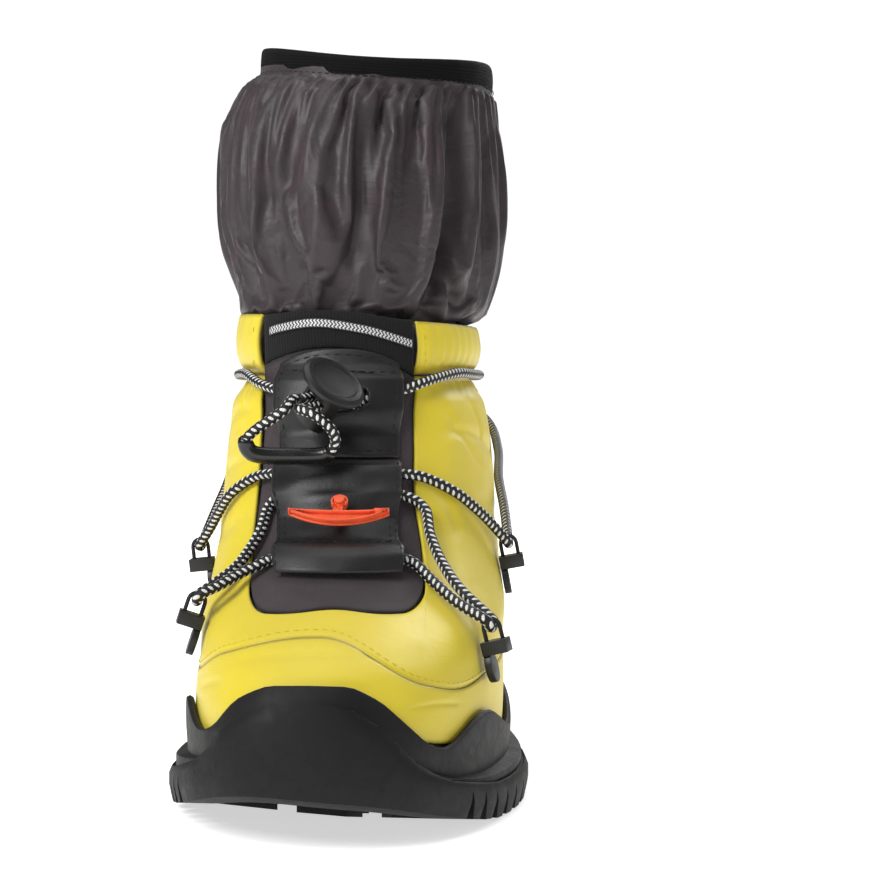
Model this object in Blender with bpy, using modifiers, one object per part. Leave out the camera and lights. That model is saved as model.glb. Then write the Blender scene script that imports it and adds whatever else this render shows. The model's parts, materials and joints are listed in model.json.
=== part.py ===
"""Insulated winter mountain boot, left foot, with a pull-up gaiter sleeve and an elastic drawcord.

Frame: metres, +Z up, toe towards -Y, lateral side towards +X, origin on the ground under the middle
of the outsole. The upper is laid out on one surface, the last, which is a stack of level sections.
A place on it is (height, angle, offset): angle 0 is the toe's centre line, +-pi the heel's, positive
on the lateral side, and the offset is measured along the surface's outward normal.
"""

import math

import bmesh
import bpy
from mathutils import Matrix, Vector

MM = 0.001

# ---------------------------------------------------------------- driving sizes
SOLE_LENGTH = 290 * MM
SOLE_WIDTH = 120 * MM
GAP = 0.3 * MM  # clearance between pieces that rest on each other
SEAM_GAP = 0.5 * MM  # clearance between two panels along a sewn edge

# The last: height, toe-side reach, heel-side reach, half width and sideways lean of each level
# section, in mm for a sole of 290 by 120, and stretched with the sole.
STATIONS = [
    (height * MM, front * SOLE_LENGTH / 290, back * SOLE_LENGTH / 290, half * SOLE_WIDTH / 120, lean * MM)
    for height, front, back, half, lean in (
        (14, -137, 137, 51.5, 0),
        (25, -139, 139, 53.5, 0),
        (38, -136.5, 139, 53.8, 0.2),
        (48, -129, 139, 53.4, 0.3),
        (56, -117, 138.5, 52.6, 0),
        (63, -101, 137.5, 51.8, -0.6),
        (70, -84, 136, 51.0, -1.4),
        (80, -66, 133.5, 50.0, -2.4),
        (92, -50, 130.5, 49.0, -3.2),
        (106, -36, 128, 48.2, -3.8),
        (120, -25, 126, 47.4, -4.4),
        (133, -17.5, 124, 45.6, -5.0),
        (142, -13.5, 122, 43.6, -5.4),
        (152, -10.5, 123, 45.0, -5.8),
        (172, -8, 124, 45.6, -6.0),
    )
]
STRIP_LEAN = -2 * MM  # how much more the tongue's middle line leans than the last, above the toe seam
ROUNDNESS = 0.87  # 1 makes each section an ellipse, less makes it squarer
FOOT_TOP = 45 * MM  # below this the sections are foot shaped
SHAFT_START = 105 * MM  # above this they are plain ovals
LATERAL_NARROWING = 0.22  # how much narrower than the ball the heel is, on each side
MEDIAL_NARROWING = 0.27
TOE_SHIFT = 5 * MM  # how far the toe leans to the medial side
TOE_SPRING = 15 * MM  # how far the sole's tip is off the ground
SPRING_START = -80 * MM
SPRING_FADE = (14 * MM, 45 * MM)  # heights between which the toe spring dies out

# Sole stack, as heights before the toe spring is added.
LUG_DEPTH = 5.5 * MM
OUTSOLE_TOP = 14 * MM
RIM_LUG_WIDTH = 11 * MM
OUTSOLE_EDGE_HEIGHT = 10 * MM
CUP_FLOOR_TOP = 16.5 * MM
CUP_WALL = 2.5 * MM
CUP_FIT = 0.65 * MM  # glue line between the cup and the upper
CUP_STEP_HEIGHT = 20 * MM
CUP_STEP_INSET = 2.2 * MM  # from the outsole's edge
CORE_TOP = 23.7 * MM
BOARD_THICKNESS = 1.8 * MM
FOOTBED_THICKNESS = 4 * MM
SHANK_WIDTH = 22 * MM
SHANK_LENGTH = 120 * MM
SHANK_THICKNESS = 1.5 * MM
SHANK_CENTRE_Y = 45 * MM

# Wavy top edge of the cup, and the top of the toe bumper: angle round the last, and height.
CUP_EDGE = [
    (angle, height * MM)
    for angle, height in (
        (0.0, 44), (0.34, 43), (0.66, 27.5), (0.97, 37), (1.3, 26), (1.62, 34),
        (2.0, 27), (2.4, 36), (2.8, 56), (math.pi, 60),
    )
]
BUMPER_EDGE = [
    (angle, height * MM)
    for angle, height in ((0.0, 36), (0.3, 31), (0.62, 19), (0.95, 15.6), (1.25, 15.0), (math.pi, 15.0))
]
BUMPER_WALL = 1.6 * MM

# Upper: layers as offsets from the last.
SHELL_THICKNESS = 3 * MM
SHELL_OUTER = 0.0
SHELL_FOOT = 24 * MM  # lower edge of the shells, just above the midsole core
LINING_OUTER = -3.5 * MM
LINING_THICKNESS = 2.4 * MM
LINING_TOP = 166 * MM
TONGUE_OUTER = -0.6 * MM
TONGUE_THICKNESS = 2.1 * MM
STRIP_HALF_WIDTH = 28.5 * MM
TONGUE_BOTTOM = 66 * MM
TONGUE_ARCH_TOP = 153 * MM
TONGUE_ARCH_DROP = 7 * MM
CUFF_BAND_TOP = 167 * MM
CUFF_BAND_BOTTOM = 140 * MM
TAPE_HEIGHTS = (157.5 * MM, 161 * MM)
TAPE_THICKNESS = 0.5 * MM
CINCH_HEIGHT = 143 * MM
CINCH_GROOVE = 2.6 * MM  # half the gap between the quarters and the collar
COLLAR_TOP = 166.5 * MM
COLLAR_PUFF = 1.6 * MM
PADDING = 2.2 * MM  # how far the padded yellow panels stand proud of the last
TOE_SEAM = [
    (angle, height * MM)
    for angle, height in (
        (-1.75, 47), (-1.1, 45), (-0.6, 54), (0.0, 60), (0.6, 45.5), (0.85, 42.5), (1.1, 45), (1.75, 52),
    )
]
SIDE_SEAM_ANGLE = 1.62

# Front overlays.
PATCH_HALF_WIDTH = 21 * MM
PATCH_THICKNESS = 1.4 * MM
PATCH_HEIGHTS = (113 * MM, 152 * MM)
PATCH_TUNNEL = (126 * MM, 140 * MM)
PATCH_SLOT = (2.6 * MM, 132 * MM, 15 * MM, 9 * MM)  # across, height on the last, and its size
FLAP_HALF_WIDTH = 20.5 * MM
FLAP_HEIGHTS = (75 * MM, 111.5 * MM)
FLAP_TUNNELS = ((79 * MM, 80 * MM), (95.5 * MM, 107.5 * MM))
TUNNEL_RAMP = 4.5 * MM

# Drawcord.
CORD_RADIUS = 1.8 * MM
TUBE_WALL = 0.55 * MM
PULL_CHANNELS = {"main": 107 * MM, "upper": 100 * MM, "lower": 79.5 * MM}

# Cord lock, measured along its own axis from where the strands cross it.
LOCK_PLACE = (-3.5 * MM, 125.5 * MM, 15.4 * MM)  # across, height on the last, offset
LOCK_AXIS = Vector((0.60, 0.36, 0.71))  # across, up the instep, outward
LOCK_EXIT = Vector((-0.479, -0.468, 0.742))  # the way the strands leave it
LOCK_WIDTH = 14.4 * MM
LOCK_DEPTH = 9.2 * MM
LOCK_BOTTOM = -9.0 * MM
LOCK_TOP = 5.4 * MM
LOCK_WALL = 1.5 * MM
LOCK_FLOOR = 1.0 * MM
LOCK_SLIDE = 4 * MM
BUTTON_TRAVEL = 1.8 * MM
BUTTON_RADIUS = 12 * MM
BUTTON_THICKNESS = 3.2 * MM
STEM_BOTTOM = -4.4 * MM
STRAND_SPACING = 4.4 * MM
SPRING_RADIUS = 2.4 * MM
SPRING_WIRE_RADIUS = 0.3 * MM
SPRING_TURNS = 2.5

# Orange pull tab, on a rivet through the flap.
RIVET_ACROSS = 1.6 * MM
RIVET_HEIGHT = 93.5 * MM
PULL_LENGTH = 34 * MM
PULL_DEPTH = 5.8 * MM
PULL_THICKNESS = 2.6 * MM
PULL_DROP = 4.8 * MM  # from the rivet to the bar's straight edge
PULL_STANDOFF = 6.0 * MM
PULL_EYE_RADIUS = 2.9 * MM
RIVET_RADIUS = 0.95 * MM
RIVET_HEAD_RADIUS = 1.8 * MM

# Lace guides: height and angle of each tab's middle on the last, and its lean forward.
GUIDES = {
    ("lower", 1): (46 * MM, 1.02, 0.05),
    ("lower", -1): (53 * MM, 0.98, 0.05),
    ("upper", 1): (68.5 * MM, 1.38, 0.05),
    ("upper", -1): (68.5 * MM, 1.38, 0.05),
}
TAB_LENGTH = 10 * MM
TAB_WIDTH = 7.6 * MM
TAB_THICKNESS = 2.4 * MM
TAB_HEAD = (6.4 * MM, 4.5 * MM, 8.6 * MM)
SLING_WIRE_RADIUS = 0.7 * MM
SLING_REACH = 7 * MM  # from the tab's head to the far end of the loop

HEEL_LOOP_HEIGHTS = (118 * MM, 163 * MM)
HEEL_LOOP_HALF_ANGLE = 0.2
HEEL_LOOP_ARCH = 12 * MM
HEEL_LOOP_THICKNESS = 1.4 * MM

# Gaiter sleeve: height, half width, half length, sideways lean and middle of each level section.
GAITER = [
    tuple(value * MM for value in row)
    for row in (
        (150, 36.5, 52, -5.8, 55.5),
        (166, 37.5, 53, -5.8, 56),
        (174, 44.0, 58, -5.4, 57),
        (188, 52.5, 64, -4.6, 59),
        (205, 55.0, 66, -3.6, 61),
        (222, 54.0, 65, -2.4, 62.5),
        (236, 50.0, 61, -1.2, 64),
        (246, 44.5, 55, -0.6, 65.5),
        (249, 42.8, 53, -0.4, 66),
    )
]
GAITER_WALL = 0.9 * MM
BAND_HEIGHTS = (249.3 * MM, 262.5 * MM)
BAND_WALL = 1.6 * MM
BAND_TRAVEL = 60 * MM

COLOURS = {
    "shell_yellow": ((0.78, 0.62, 0.035), 0.55, 0.0),
    "shaft_grey": ((0.07, 0.065, 0.07), 0.6, 0.0),
    "tongue_mauve": ((0.085, 0.068, 0.078), 0.75, 0.0),
    "sole_black": ((0.022, 0.021, 0.023), 0.6, 0.0),
    "trim_black": ((0.013, 0.012, 0.013), 0.5, 0.0),
    "lock_plastic": ((0.014, 0.014, 0.015), 0.35, 0.0),
    "lace_cord": ((0.06, 0.06, 0.065), 0.7, 0.0),
    "pull_orange": ((0.85, 0.10, 0.03), 0.45, 0.0),
    "reflective": ((0.45, 0.45, 0.46), 0.35, 0.0),
    "foam": ((0.35, 0.35, 0.36), 0.9, 0.0),
    "lining": ((0.04, 0.04, 0.045), 0.95, 0.0),
    "steel": ((0.6, 0.6, 0.62), 0.35, 1.0),
}


# ---------------------------------------------------------------- small maths
def smoothstep(value):
    value = min(1.0, max(0.0, value))
    return value * value * (3 - 2 * value)


def along_points(points, at):
    """Monotone cubic through (position, value) points, flat at its peaks and valleys."""
    if at <= points[0][0]:
        return points[0][1]
    if at >= points[-1][0]:
        return points[-1][1]
    slopes = [(b[1] - a[1]) / (b[0] - a[0]) for a, b in zip(points, points[1:])]

    def tangent(i):
        if i == 0 or i == len(points) - 1:
            return 0.0 if len(points) < 3 else slopes[0 if i == 0 else -1]
        before, after = slopes[i - 1], slopes[i]
        return 0.0 if before * after <= 0 else 2 * before * after / (before + after)

    i = max(k for k in range(len(points) - 1) if points[k][0] <= at)
    width = points[i + 1][0] - points[i][0]
    t = (at - points[i][0]) / width
    return (
        (2 * t**3 - 3 * t**2 + 1) * points[i][1]
        + (t**3 - 2 * t**2 + t) * width * tangent(i)
        + (3 * t**2 - 2 * t**3) * points[i + 1][1]
        + (t**3 - t**2) * width * tangent(i + 1)
    )


def column(table, index):
    return [(row[0], row[index]) for row in table]


def signed_power(value, power):
    return math.copysign(abs(value) ** power, value)


# ---------------------------------------------------------------- the last
def toe_spring(y):
    share = max(0.0, (SPRING_START - y) / (SPRING_START + SOLE_LENGTH / 2))
    return TOE_SPRING * share**1.6


def lift(y, height):
    """How far the toe spring raises a point of this height."""
    low, high = SPRING_FADE
    return toe_spring(y) * (1 - smoothstep((height - low) / (high - low)))


def section_shape(angle, foot):
    """(across, along) of a section from -1 to 1, foot shaped by the share foot."""
    along = -signed_power(math.cos(angle), ROUNDNESS)
    across = signed_power(math.sin(angle), ROUNDNESS)
    narrowing = LATERAL_NARROWING if across > 0 else MEDIAL_NARROWING
    across *= 1 - foot * narrowing * smoothstep((along + 0.45) / 0.9)
    return across, along


def toe_shift(along, foot):
    return -TOE_SHIFT * foot * max(0.0, (-along - 0.1) / 0.9) ** 2


def lean(height):
    return along_points(column(STATIONS, 4), height)


def last_point(height, angle):
    front = along_points(column(STATIONS, 1), height)
    back = along_points(column(STATIONS, 2), height)
    half = along_points(column(STATIONS, 3), height)
    foot = 1 - smoothstep((height - FOOT_TOP) / (SHAFT_START - FOOT_TOP))
    across, along = section_shape(angle, foot)
    y = (front + back) / 2 + (back - front) / 2 * along
    x = lean(height) + toe_shift(along, foot) + half * across
    return Vector((x, y, height + lift(y, height)))


def last_normal(height, angle):
    turn, rise = 0.03, 0.6 * MM
    around = last_point(height, angle + turn) - last_point(height, angle - turn)
    up = last_point(height + rise, angle) - last_point(height - rise, angle)
    return around.cross(up).normalized()


def skin(height, angle, offset=0.0):
    return last_point(height, angle) + last_normal(height, angle) * offset


def angle_at(height, across):
    """The angle at which the front half of a section is this far from the tongue's middle line."""
    across += lean(height) + STRIP_LEAN * smoothstep((height - TONGUE_BOTTOM) / (40 * MM))
    low, high = -math.pi / 2, math.pi / 2
    for _ in range(30):
        middle = (low + high) / 2
        if last_point(height, middle).x < across:
            low = middle
        else:
            high = middle
    return (low + high) / 2


def angle_at_y(height, y):
    """The angle on the lateral side at which a section reaches this far along the shoe."""
    low, high = 0.0, math.pi
    for _ in range(30):
        middle = (low + high) / 2
        if last_point(height, middle).y < y:
            low = middle
        else:
            high = middle
    return (low + high) / 2


def front_skin(across, height, offset=0.0):
    return skin(height, angle_at(height, across), offset)


def front_frame(across, height, offset=0.0):
    """Origin, across, up the instep and outward directions at a place on the front."""
    angle = angle_at(height, across)
    outward = last_normal(height, angle)
    sideways = (Vector((1, 0, 0)) - outward * outward.x).normalized()
    return skin(height, angle, offset), sideways, outward.cross(sideways), outward


# ---------------------------------------------------------------- the sole's outline
def outline_samples(count):
    return [2 * math.pi * i / count - math.pi for i in range(count)]


def raw_outline(angle):
    across, along = section_shape(angle, 1.0)
    return toe_shift(along, 1.0) + SOLE_WIDTH / 2 * across, along


RAW_ACROSS = [raw_outline(angle)[0] for angle in outline_samples(720)]
RAW_MIDDLE = (max(RAW_ACROSS) + min(RAW_ACROSS)) / 2
RAW_SCALE = SOLE_WIDTH / (max(RAW_ACROSS) - min(RAW_ACROSS))


def sole_edge(angle, inset=0.0):
    """The outsole's outline, exactly SOLE_WIDTH by SOLE_LENGTH, taken in by inset."""

    def plain(at):
        across, along = raw_outline(at)
        return Vector(((across - RAW_MIDDLE) * RAW_SCALE, along * SOLE_LENGTH / 2, 0))

    tangent = plain(angle + 0.02) - plain(angle - 0.02)
    inward = Vector((-tangent.y, tangent.x, 0)).normalized()
    return plain(angle) + inward * inset


# ---------------------------------------------------------------- Blender helpers
def clear_scene():
    for obj in list(bpy.data.objects):
        bpy.data.objects.remove(obj, do_unlink=True)


def material(slot):
    found = bpy.data.materials.get(slot)
    if found:
        return found
    colour, roughness, metallic = COLOURS[slot]
    made = bpy.data.materials.new(slot)
    made.use_nodes = True
    shader = made.node_tree.nodes["Principled BSDF"]
    shader.inputs["Base Color"].default_value = (*colour, 1)
    shader.inputs["Roughness"].default_value = roughness
    shader.inputs["Metallic"].default_value = metallic
    return made


def link(name, data, slot=None, cutter=False):
    obj = bpy.data.objects.new(name, data)
    (CUTTERS if cutter else BOOT).objects.link(obj)
    if cutter:
        obj.hide_render = True
        obj.display_type = "WIRE"
    if slot:
        obj.data.materials.append(material(slot))
    return obj


def mesh_from(bm, name, slot=None, cutter=False, smooth=True):
    mesh = bpy.data.meshes.new(name)
    bm.to_mesh(mesh)
    bm.free()
    if smooth:
        mesh.shade_smooth()
        mesh.set_sharp_from_angle(angle=math.radians(40))
    return link(name, mesh, slot, cutter)


def ring_solid(name, rings, slot, ladder=True):
    """A closed solid lofted through rings of points, which pair up left and right for its caps."""
    bm = bmesh.new()
    loops = [[bm.verts.new(point) for point in ring] for ring in rings]
    count = len(rings[0])
    for lower, upper in zip(loops, loops[1:]):
        for i in range(count):
            j = (i + 1) % count
            bm.faces.new((lower[i], lower[j], upper[j], upper[i]))
    for loop in (loops[0], loops[-1]):
        if not ladder:
            bm.faces.new(loop)
            continue
        bm.faces.new((loop[0], loop[1], loop[-1]))
        bm.faces.new((loop[count // 2 - 1], loop[count // 2], loop[count // 2 + 1]))
        for i in range(1, count // 2 - 1):
            bm.faces.new((loop[i], loop[i + 1], loop[count - i - 1], loop[count - i]))
    bmesh.ops.recalc_face_normals(bm, faces=bm.faces)
    return mesh_from(bm, name, slot)


def panel(name, slot, thickness, rows, columns, place, keep=None, closed=False):
    """A sewn panel: an open grid laid on the last by place(u, v), given its wall by Solidify."""
    bm = bmesh.new()
    across = columns if closed else columns + 1
    grid = [
        [bm.verts.new(place(column_index / columns, row / rows)) for column_index in range(across)]
        for row in range(rows + 1)
    ]
    for row in range(rows):
        for i in range(columns):
            if keep and not keep(i, row):
                continue
            j = (i + 1) % across
            bm.faces.new((grid[row][i], grid[row][j], grid[row + 1][j], grid[row + 1][i]))
    loose = [vert for vert in bm.verts if not vert.link_faces]
    bmesh.ops.delete(bm, geom=loose, context="VERTS")
    obj = mesh_from(bm, name, slot)
    wall = obj.modifiers.new("wall", "SOLIDIFY")
    wall.thickness = thickness
    wall.offset = -1
    wall.use_even_offset = False
    return obj


def boolean(obj, other, operation="DIFFERENCE"):
    cut = obj.modifiers.new(operation.lower(), "BOOLEAN")
    cut.operation = operation
    cut.object = other
    return cut


def block(name, size, matrix, slot=None, cutter=False, bevel=0.0):
    bm = bmesh.new()
    bmesh.ops.create_cube(bm, size=1.0)
    bmesh.ops.scale(bm, vec=size, verts=bm.verts)
    obj = mesh_from(bm, name, slot, cutter, smooth=False)
    obj.matrix_world = matrix
    if bevel:
        edge = obj.modifiers.new("edge", "BEVEL")
        edge.width = bevel
        edge.segments = 2
    return obj


def rod(name, radius, low, high, matrix, slot=None, cutter=False, sides=20, stretch=1.0):
    """A cylinder from low to high along its own Z, its Y stretched for an oval one."""
    bm = bmesh.new()
    bmesh.ops.create_cone(
        bm, cap_ends=True, segments=sides, radius1=radius, radius2=radius, depth=high - low
    )
    bmesh.ops.scale(bm, vec=(1, stretch, 1), verts=bm.verts)
    bmesh.ops.translate(bm, vec=(0, 0, (low + high) / 2), verts=bm.verts)
    obj = mesh_from(bm, name, slot, cutter)
    obj.matrix_world = matrix
    return obj


def frame_matrix(origin, x_axis, z_axis):
    """A placing matrix with this Z, and X as near to x_axis as it can be."""
    z_axis = z_axis.normalized()
    x_axis = (x_axis - z_axis * x_axis.dot(z_axis)).normalized()
    y_axis = z_axis.cross(x_axis)
    matrix = Matrix((x_axis, y_axis, z_axis)).transposed().to_4x4()
    matrix.translation = origin
    return matrix


def smooth_route(points, step):
    """Points every step or so along a Catmull-Rom curve through the route's own points."""
    ends = [points[0] * 2 - points[1], *points, points[-1] * 2 - points[-2]]
    route = []
    for a, b, c, d in zip(ends, ends[1:], ends[2:], ends[3:]):
        count = max(1, round((c - b).length / step))
        for i in range(count):
            t = i / count
            route.append(
                0.5
                * (
                    2 * b
                    + (c - a) * t
                    + (2 * a - 5 * b + 4 * c - d) * t**2
                    + (3 * b - a - 3 * c + d) * t**3
                )
            )
    return [*route, points[-1].copy()]


def poly_curve(name, route, radius, resolution=2, caps=True):
    curve = bpy.data.curves.new(name, "CURVE")
    curve.dimensions = "3D"
    curve.bevel_depth = radius
    curve.bevel_resolution = resolution
    curve.use_fill_caps = caps
    spline = curve.splines.new("POLY")
    spline.points.add(len(route) - 1)
    for point, place in zip(spline.points, route):
        point.co = (*place, 1)
    return curve


def cord(name, route, slot="lace_cord", radius=CORD_RADIUS, resolution=2):
    return link(name, poly_curve(name, route, radius, resolution), slot)


def as_mesh(name, curve):
    """The mesh of a curve, for curves that take modifiers."""
    guide = bpy.data.objects.new(name + "_line", curve)
    CUTTERS.objects.link(guide)
    bpy.context.view_layer.update()
    mesh = bpy.data.meshes.new_from_object(guide.evaluated_get(bpy.context.evaluated_depsgraph_get()))
    bpy.data.objects.remove(guide)
    return mesh


# ---------------------------------------------------------------- sole
SOLE_SAMPLES = outline_samples(64)


def cup_edge(angle):
    return along_points(CUP_EDGE, abs(angle))


def bumper_edge(angle):
    return along_points(BUMPER_EDGE, abs(angle))


def raised(place, height):
    """A point of the sole at this height, with the toe spring added."""
    return Vector((place.x, place.y, height + lift(place.y, height)))


def side_share(angle):
    """0 round the toe, where the bumper hugs the cup, and 1 along the sides and heel."""
    return smoothstep((abs(angle) - 0.45) / 0.5)


def cup_foot(angle, extra=0.0):
    """Outside of the cup's lower wall, a ledge at the sides and flush at the toe."""
    wall = skin(CUP_STEP_HEIGHT, angle, CUP_WALL + CUP_FIT + extra)
    ledge = sole_edge(angle, CUP_STEP_INSET - extra)
    return wall.lerp(ledge, side_share(angle))


def build_cup():
    crest = 0.8 * MM
    inner = [skin(CUP_FLOOR_TOP, angle, CUP_FIT) for angle in SOLE_SAMPLES]
    rings = [[raised(p, CUP_FLOOR_TOP) for p in inner]]
    rings.append([skin(SHELL_FOOT, a, CUP_FIT) for a in SOLE_SAMPLES])
    for share in (0.4, 0.68, 0.87, 1.0):
        rings.append(
            [
                skin(SHELL_FOOT + (cup_edge(a) - crest - SHELL_FOOT) * share, a, CUP_FIT)
                for a in SOLE_SAMPLES
            ]
        )
    rings.append([skin(cup_edge(a), a, CUP_FIT + CUP_WALL / 2) for a in SOLE_SAMPLES])
    for share in (1.0, 0.85, 0.65, 0.4, 0.15):
        low = CUP_STEP_HEIGHT + 1.2 * MM
        rings.append(
            [skin(low + (cup_edge(a) - crest - low) * share, a, CUP_WALL + CUP_FIT) for a in SOLE_SAMPLES]
        )
    rings.append([raised(skin(CUP_STEP_HEIGHT, a, CUP_WALL + CUP_FIT), CUP_STEP_HEIGHT) for a in SOLE_SAMPLES])
    rings.append([raised(cup_foot(a), CUP_STEP_HEIGHT - 0.9 * MM) for a in SOLE_SAMPLES])
    rings.append([raised(cup_foot(a), OUTSOLE_TOP + GAP) for a in SOLE_SAMPLES])
    return ring_solid("midsole_cup", rings, "sole_black")


def hug(angle, height, extra):
    """Just outside the cup at this height: against its wall at the toe, under its ledge elsewhere."""
    low = raised(cup_foot(angle, extra), height)
    if height <= CUP_STEP_HEIGHT:
        return low
    return skin(height, angle, CUP_WALL + CUP_FIT + extra).lerp(low, side_share(angle))


def bumper_outer(angle, share):
    """Outer face of the outsole from its edge, share 0, to the bumper's top, share 1."""
    edge = raised(sole_edge(angle), OUTSOLE_EDGE_HEIGHT)
    height = bumper_edge(angle) - 0.5 * MM
    ledge = raised(sole_edge(angle, 0.9 * MM), height)
    top = hug(angle, height, FIT + BUMPER_WALL).lerp(ledge, side_share(angle))
    outward = Vector((edge.x, edge.y, 0)).normalized()
    bulge = 1.2 * MM * math.sin(math.pi * share) * (1 - side_share(angle))
    return edge.lerp(top, share) + outward * bulge


FIT = GAP + 0.4 * MM  # the bonded outsole's clearance round the cup


def build_outsole():
    seat = OUTSOLE_TOP
    rings = [[raised(cup_foot(a, FIT), seat) for a in SOLE_SAMPLES]]
    for share in (0.33, 0.66, 1.0):
        rings.append([hug(a, seat + (bumper_edge(a) - 0.5 * MM - seat) * share, FIT) for a in SOLE_SAMPLES])
    lip_inset = (0.9 * MM + CUP_STEP_INSET - FIT) / 2
    rings.append(
        [
            hug(a, bumper_edge(a), FIT + BUMPER_WALL / 2).lerp(
                raised(sole_edge(a, lip_inset), bumper_edge(a)), side_share(a)
            )
            for a in SOLE_SAMPLES
        ]
    )
    for share in (1.0, 0.6, 0.0):
        rings.append([bumper_outer(a, share) for a in SOLE_SAMPLES])
    rings.append([raised(sole_edge(a), LUG_DEPTH) for a in SOLE_SAMPLES])
    rings.append([raised(sole_edge(a, 1.2 * MM), 0) for a in SOLE_SAMPLES])
    rings.append([raised(sole_edge(a, RIM_LUG_WIDTH), 0) for a in SOLE_SAMPLES])
    rings.append([raised(sole_edge(a, RIM_LUG_WIDTH + 0.8 * MM), LUG_DEPTH) for a in SOLE_SAMPLES])
    outsole = ring_solid("outsole", rings, "sole_black")
    boolean(outsole, tread_lugs(), "UNION")
    boolean(outsole, rim_notches())
    return outsole


def tread_lugs():
    """Blocks inside the rim, in rows that zigzag, as one mesh of separate solids."""
    bm = bmesh.new()
    row_pitch, lug_length, lug_width, sink = 21 * MM, 13 * MM, 17 * MM, 1.5 * MM
    rows = range(-5, 6)
    for row in rows:
        y = row * row_pitch + 6 * MM
        share = y / (SOLE_LENGTH / 2)
        angle = math.acos(max(-1.0, min(1.0, -signed_power(share, 1 / ROUNDNESS))))
        left, right = sole_edge(-angle, RIM_LUG_WIDTH).x, sole_edge(angle, RIM_LUG_WIDTH).x
        count = 3 if right - left > 3 * lug_width + 16 * MM else 2
        for i in range(count):
            x = left + (right - left) * (i + 0.5) / count
            turn = math.radians(18 if (i + row) % 2 else -18)
            height = LUG_DEPTH + sink
            made = bmesh.ops.create_cube(bm, size=1.0)["verts"]
            bmesh.ops.scale(bm, vec=(lug_width, lug_length, height), verts=made)
            bmesh.ops.rotate(bm, matrix=Matrix.Rotation(turn, 3, "Z"), verts=made)
            bmesh.ops.translate(bm, vec=(x, y, height / 2), verts=made)
            for vert in made:
                vert.co.z += toe_spring(vert.co.y)
    return mesh_from(bm, "tread_lug_shapes", cutter=True, smooth=False)


def rim_notches():
    """Wedges that cut saw teeth into the rim lug along both sides and round the heel."""
    bm = bmesh.new()
    depth, half_width, apex = 8 * MM, 2.1 * MM, 9.5 * MM
    angles = [0.78 + 0.085 * i for i in range(9)] + [1.9 + 0.115 * i for i in range(9)]
    for side in (-1, 1):
        for angle in angles:
            edge = sole_edge(side * angle)
            inward = (sole_edge(side * angle, depth) - edge).normalized()
            made = bmesh.ops.create_cube(bm, size=1.0)["verts"]
            bmesh.ops.rotate(bm, matrix=Matrix.Rotation(math.pi / 4, 3, "X"), verts=made)
            bmesh.ops.scale(
                bm, vec=(2 * depth, half_width * math.sqrt(2), apex * math.sqrt(2)), verts=made
            )
            turn = math.atan2(inward.y, inward.x)
            bmesh.ops.rotate(bm, matrix=Matrix.Rotation(turn, 3, "Z"), verts=made)
            bmesh.ops.translate(bm, vec=(edge.x, edge.y, toe_spring(edge.y)), verts=made)
    return mesh_from(bm, "rim_notch_shapes", cutter=True, smooth=False)


def slab(name, slot, low, high, offset):
    """A flat layer of the sole, cut to the last's outline at this offset."""
    rings = [
        [raised(skin(height, angle, offset), height) for angle in SOLE_SAMPLES[::2]]
        for height in (high, low)
    ]
    return ring_solid(name, rings, slot)


def build_sole_layers():
    core = slab("midsole_core", "foam", CUP_FLOOR_TOP + GAP, CORE_TOP, -2 * MM)
    top = CORE_TOP
    place = Matrix.Translation((0, SHANK_CENTRE_Y, top - SHANK_THICKNESS / 2))
    pocket = (SHANK_WIDTH + 2 * GAP, SHANK_LENGTH + 2 * GAP, SHANK_THICKNESS + 4 * GAP)
    boolean(core, block("shank_pocket", pocket, place, cutter=True))
    block("shank", (SHANK_WIDTH, SHANK_LENGTH, SHANK_THICKNESS), place, "steel")
    inside = LINING_OUTER - LINING_THICKNESS - 3 * GAP
    board_low = CORE_TOP + GAP
    board_high = board_low + BOARD_THICKNESS
    slab("insole_board", "foam", board_low, board_high, inside)
    slab("footbed", "lining", board_high + GAP, board_high + GAP + FOOTBED_THICKNESS, inside - 1 * MM)


# ---------------------------------------------------------------- upper
def toe_seam(angle):
    return along_points(TOE_SEAM, angle)


def build_vamp():
    reach = SIDE_SEAM_ANGLE

    def place(u, v):
        angle = (2 * u - 1) * reach
        top = toe_seam(angle) - 2.4 * SEAM_GAP
        return skin(SHELL_FOOT + (top - SHELL_FOOT) * v, angle, SHELL_OUTER)

    panel("toe_vamp", "shell_yellow", SHELL_THICKNESS, 7, 24, place)


def padding(height, angle):
    """How far the padded panels stand proud here, nothing along their sewn edges."""
    side = abs(angle)
    low = max(cup_edge(side), toe_seam(angle) if side < SIDE_SEAM_ANGLE else SHELL_FOOT) + 2 * MM
    top = CINCH_HEIGHT - CINCH_GROOVE
    strip = angle_at(height, STRIP_HALF_WIDTH)
    return (
        PADDING
        * smoothstep((height - low) / (14 * MM))
        * smoothstep((top - height) / (9 * MM))
        * (0.25 + 0.75 * smoothstep(abs(side - SIDE_SEAM_ANGLE) / 0.22))
        * smoothstep((side - strip) / 0.3)
    )


def padded_skin(height, angle, offset=0.0):
    return skin(height, angle, SHELL_OUTER + padding(height, angle) + offset)


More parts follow.
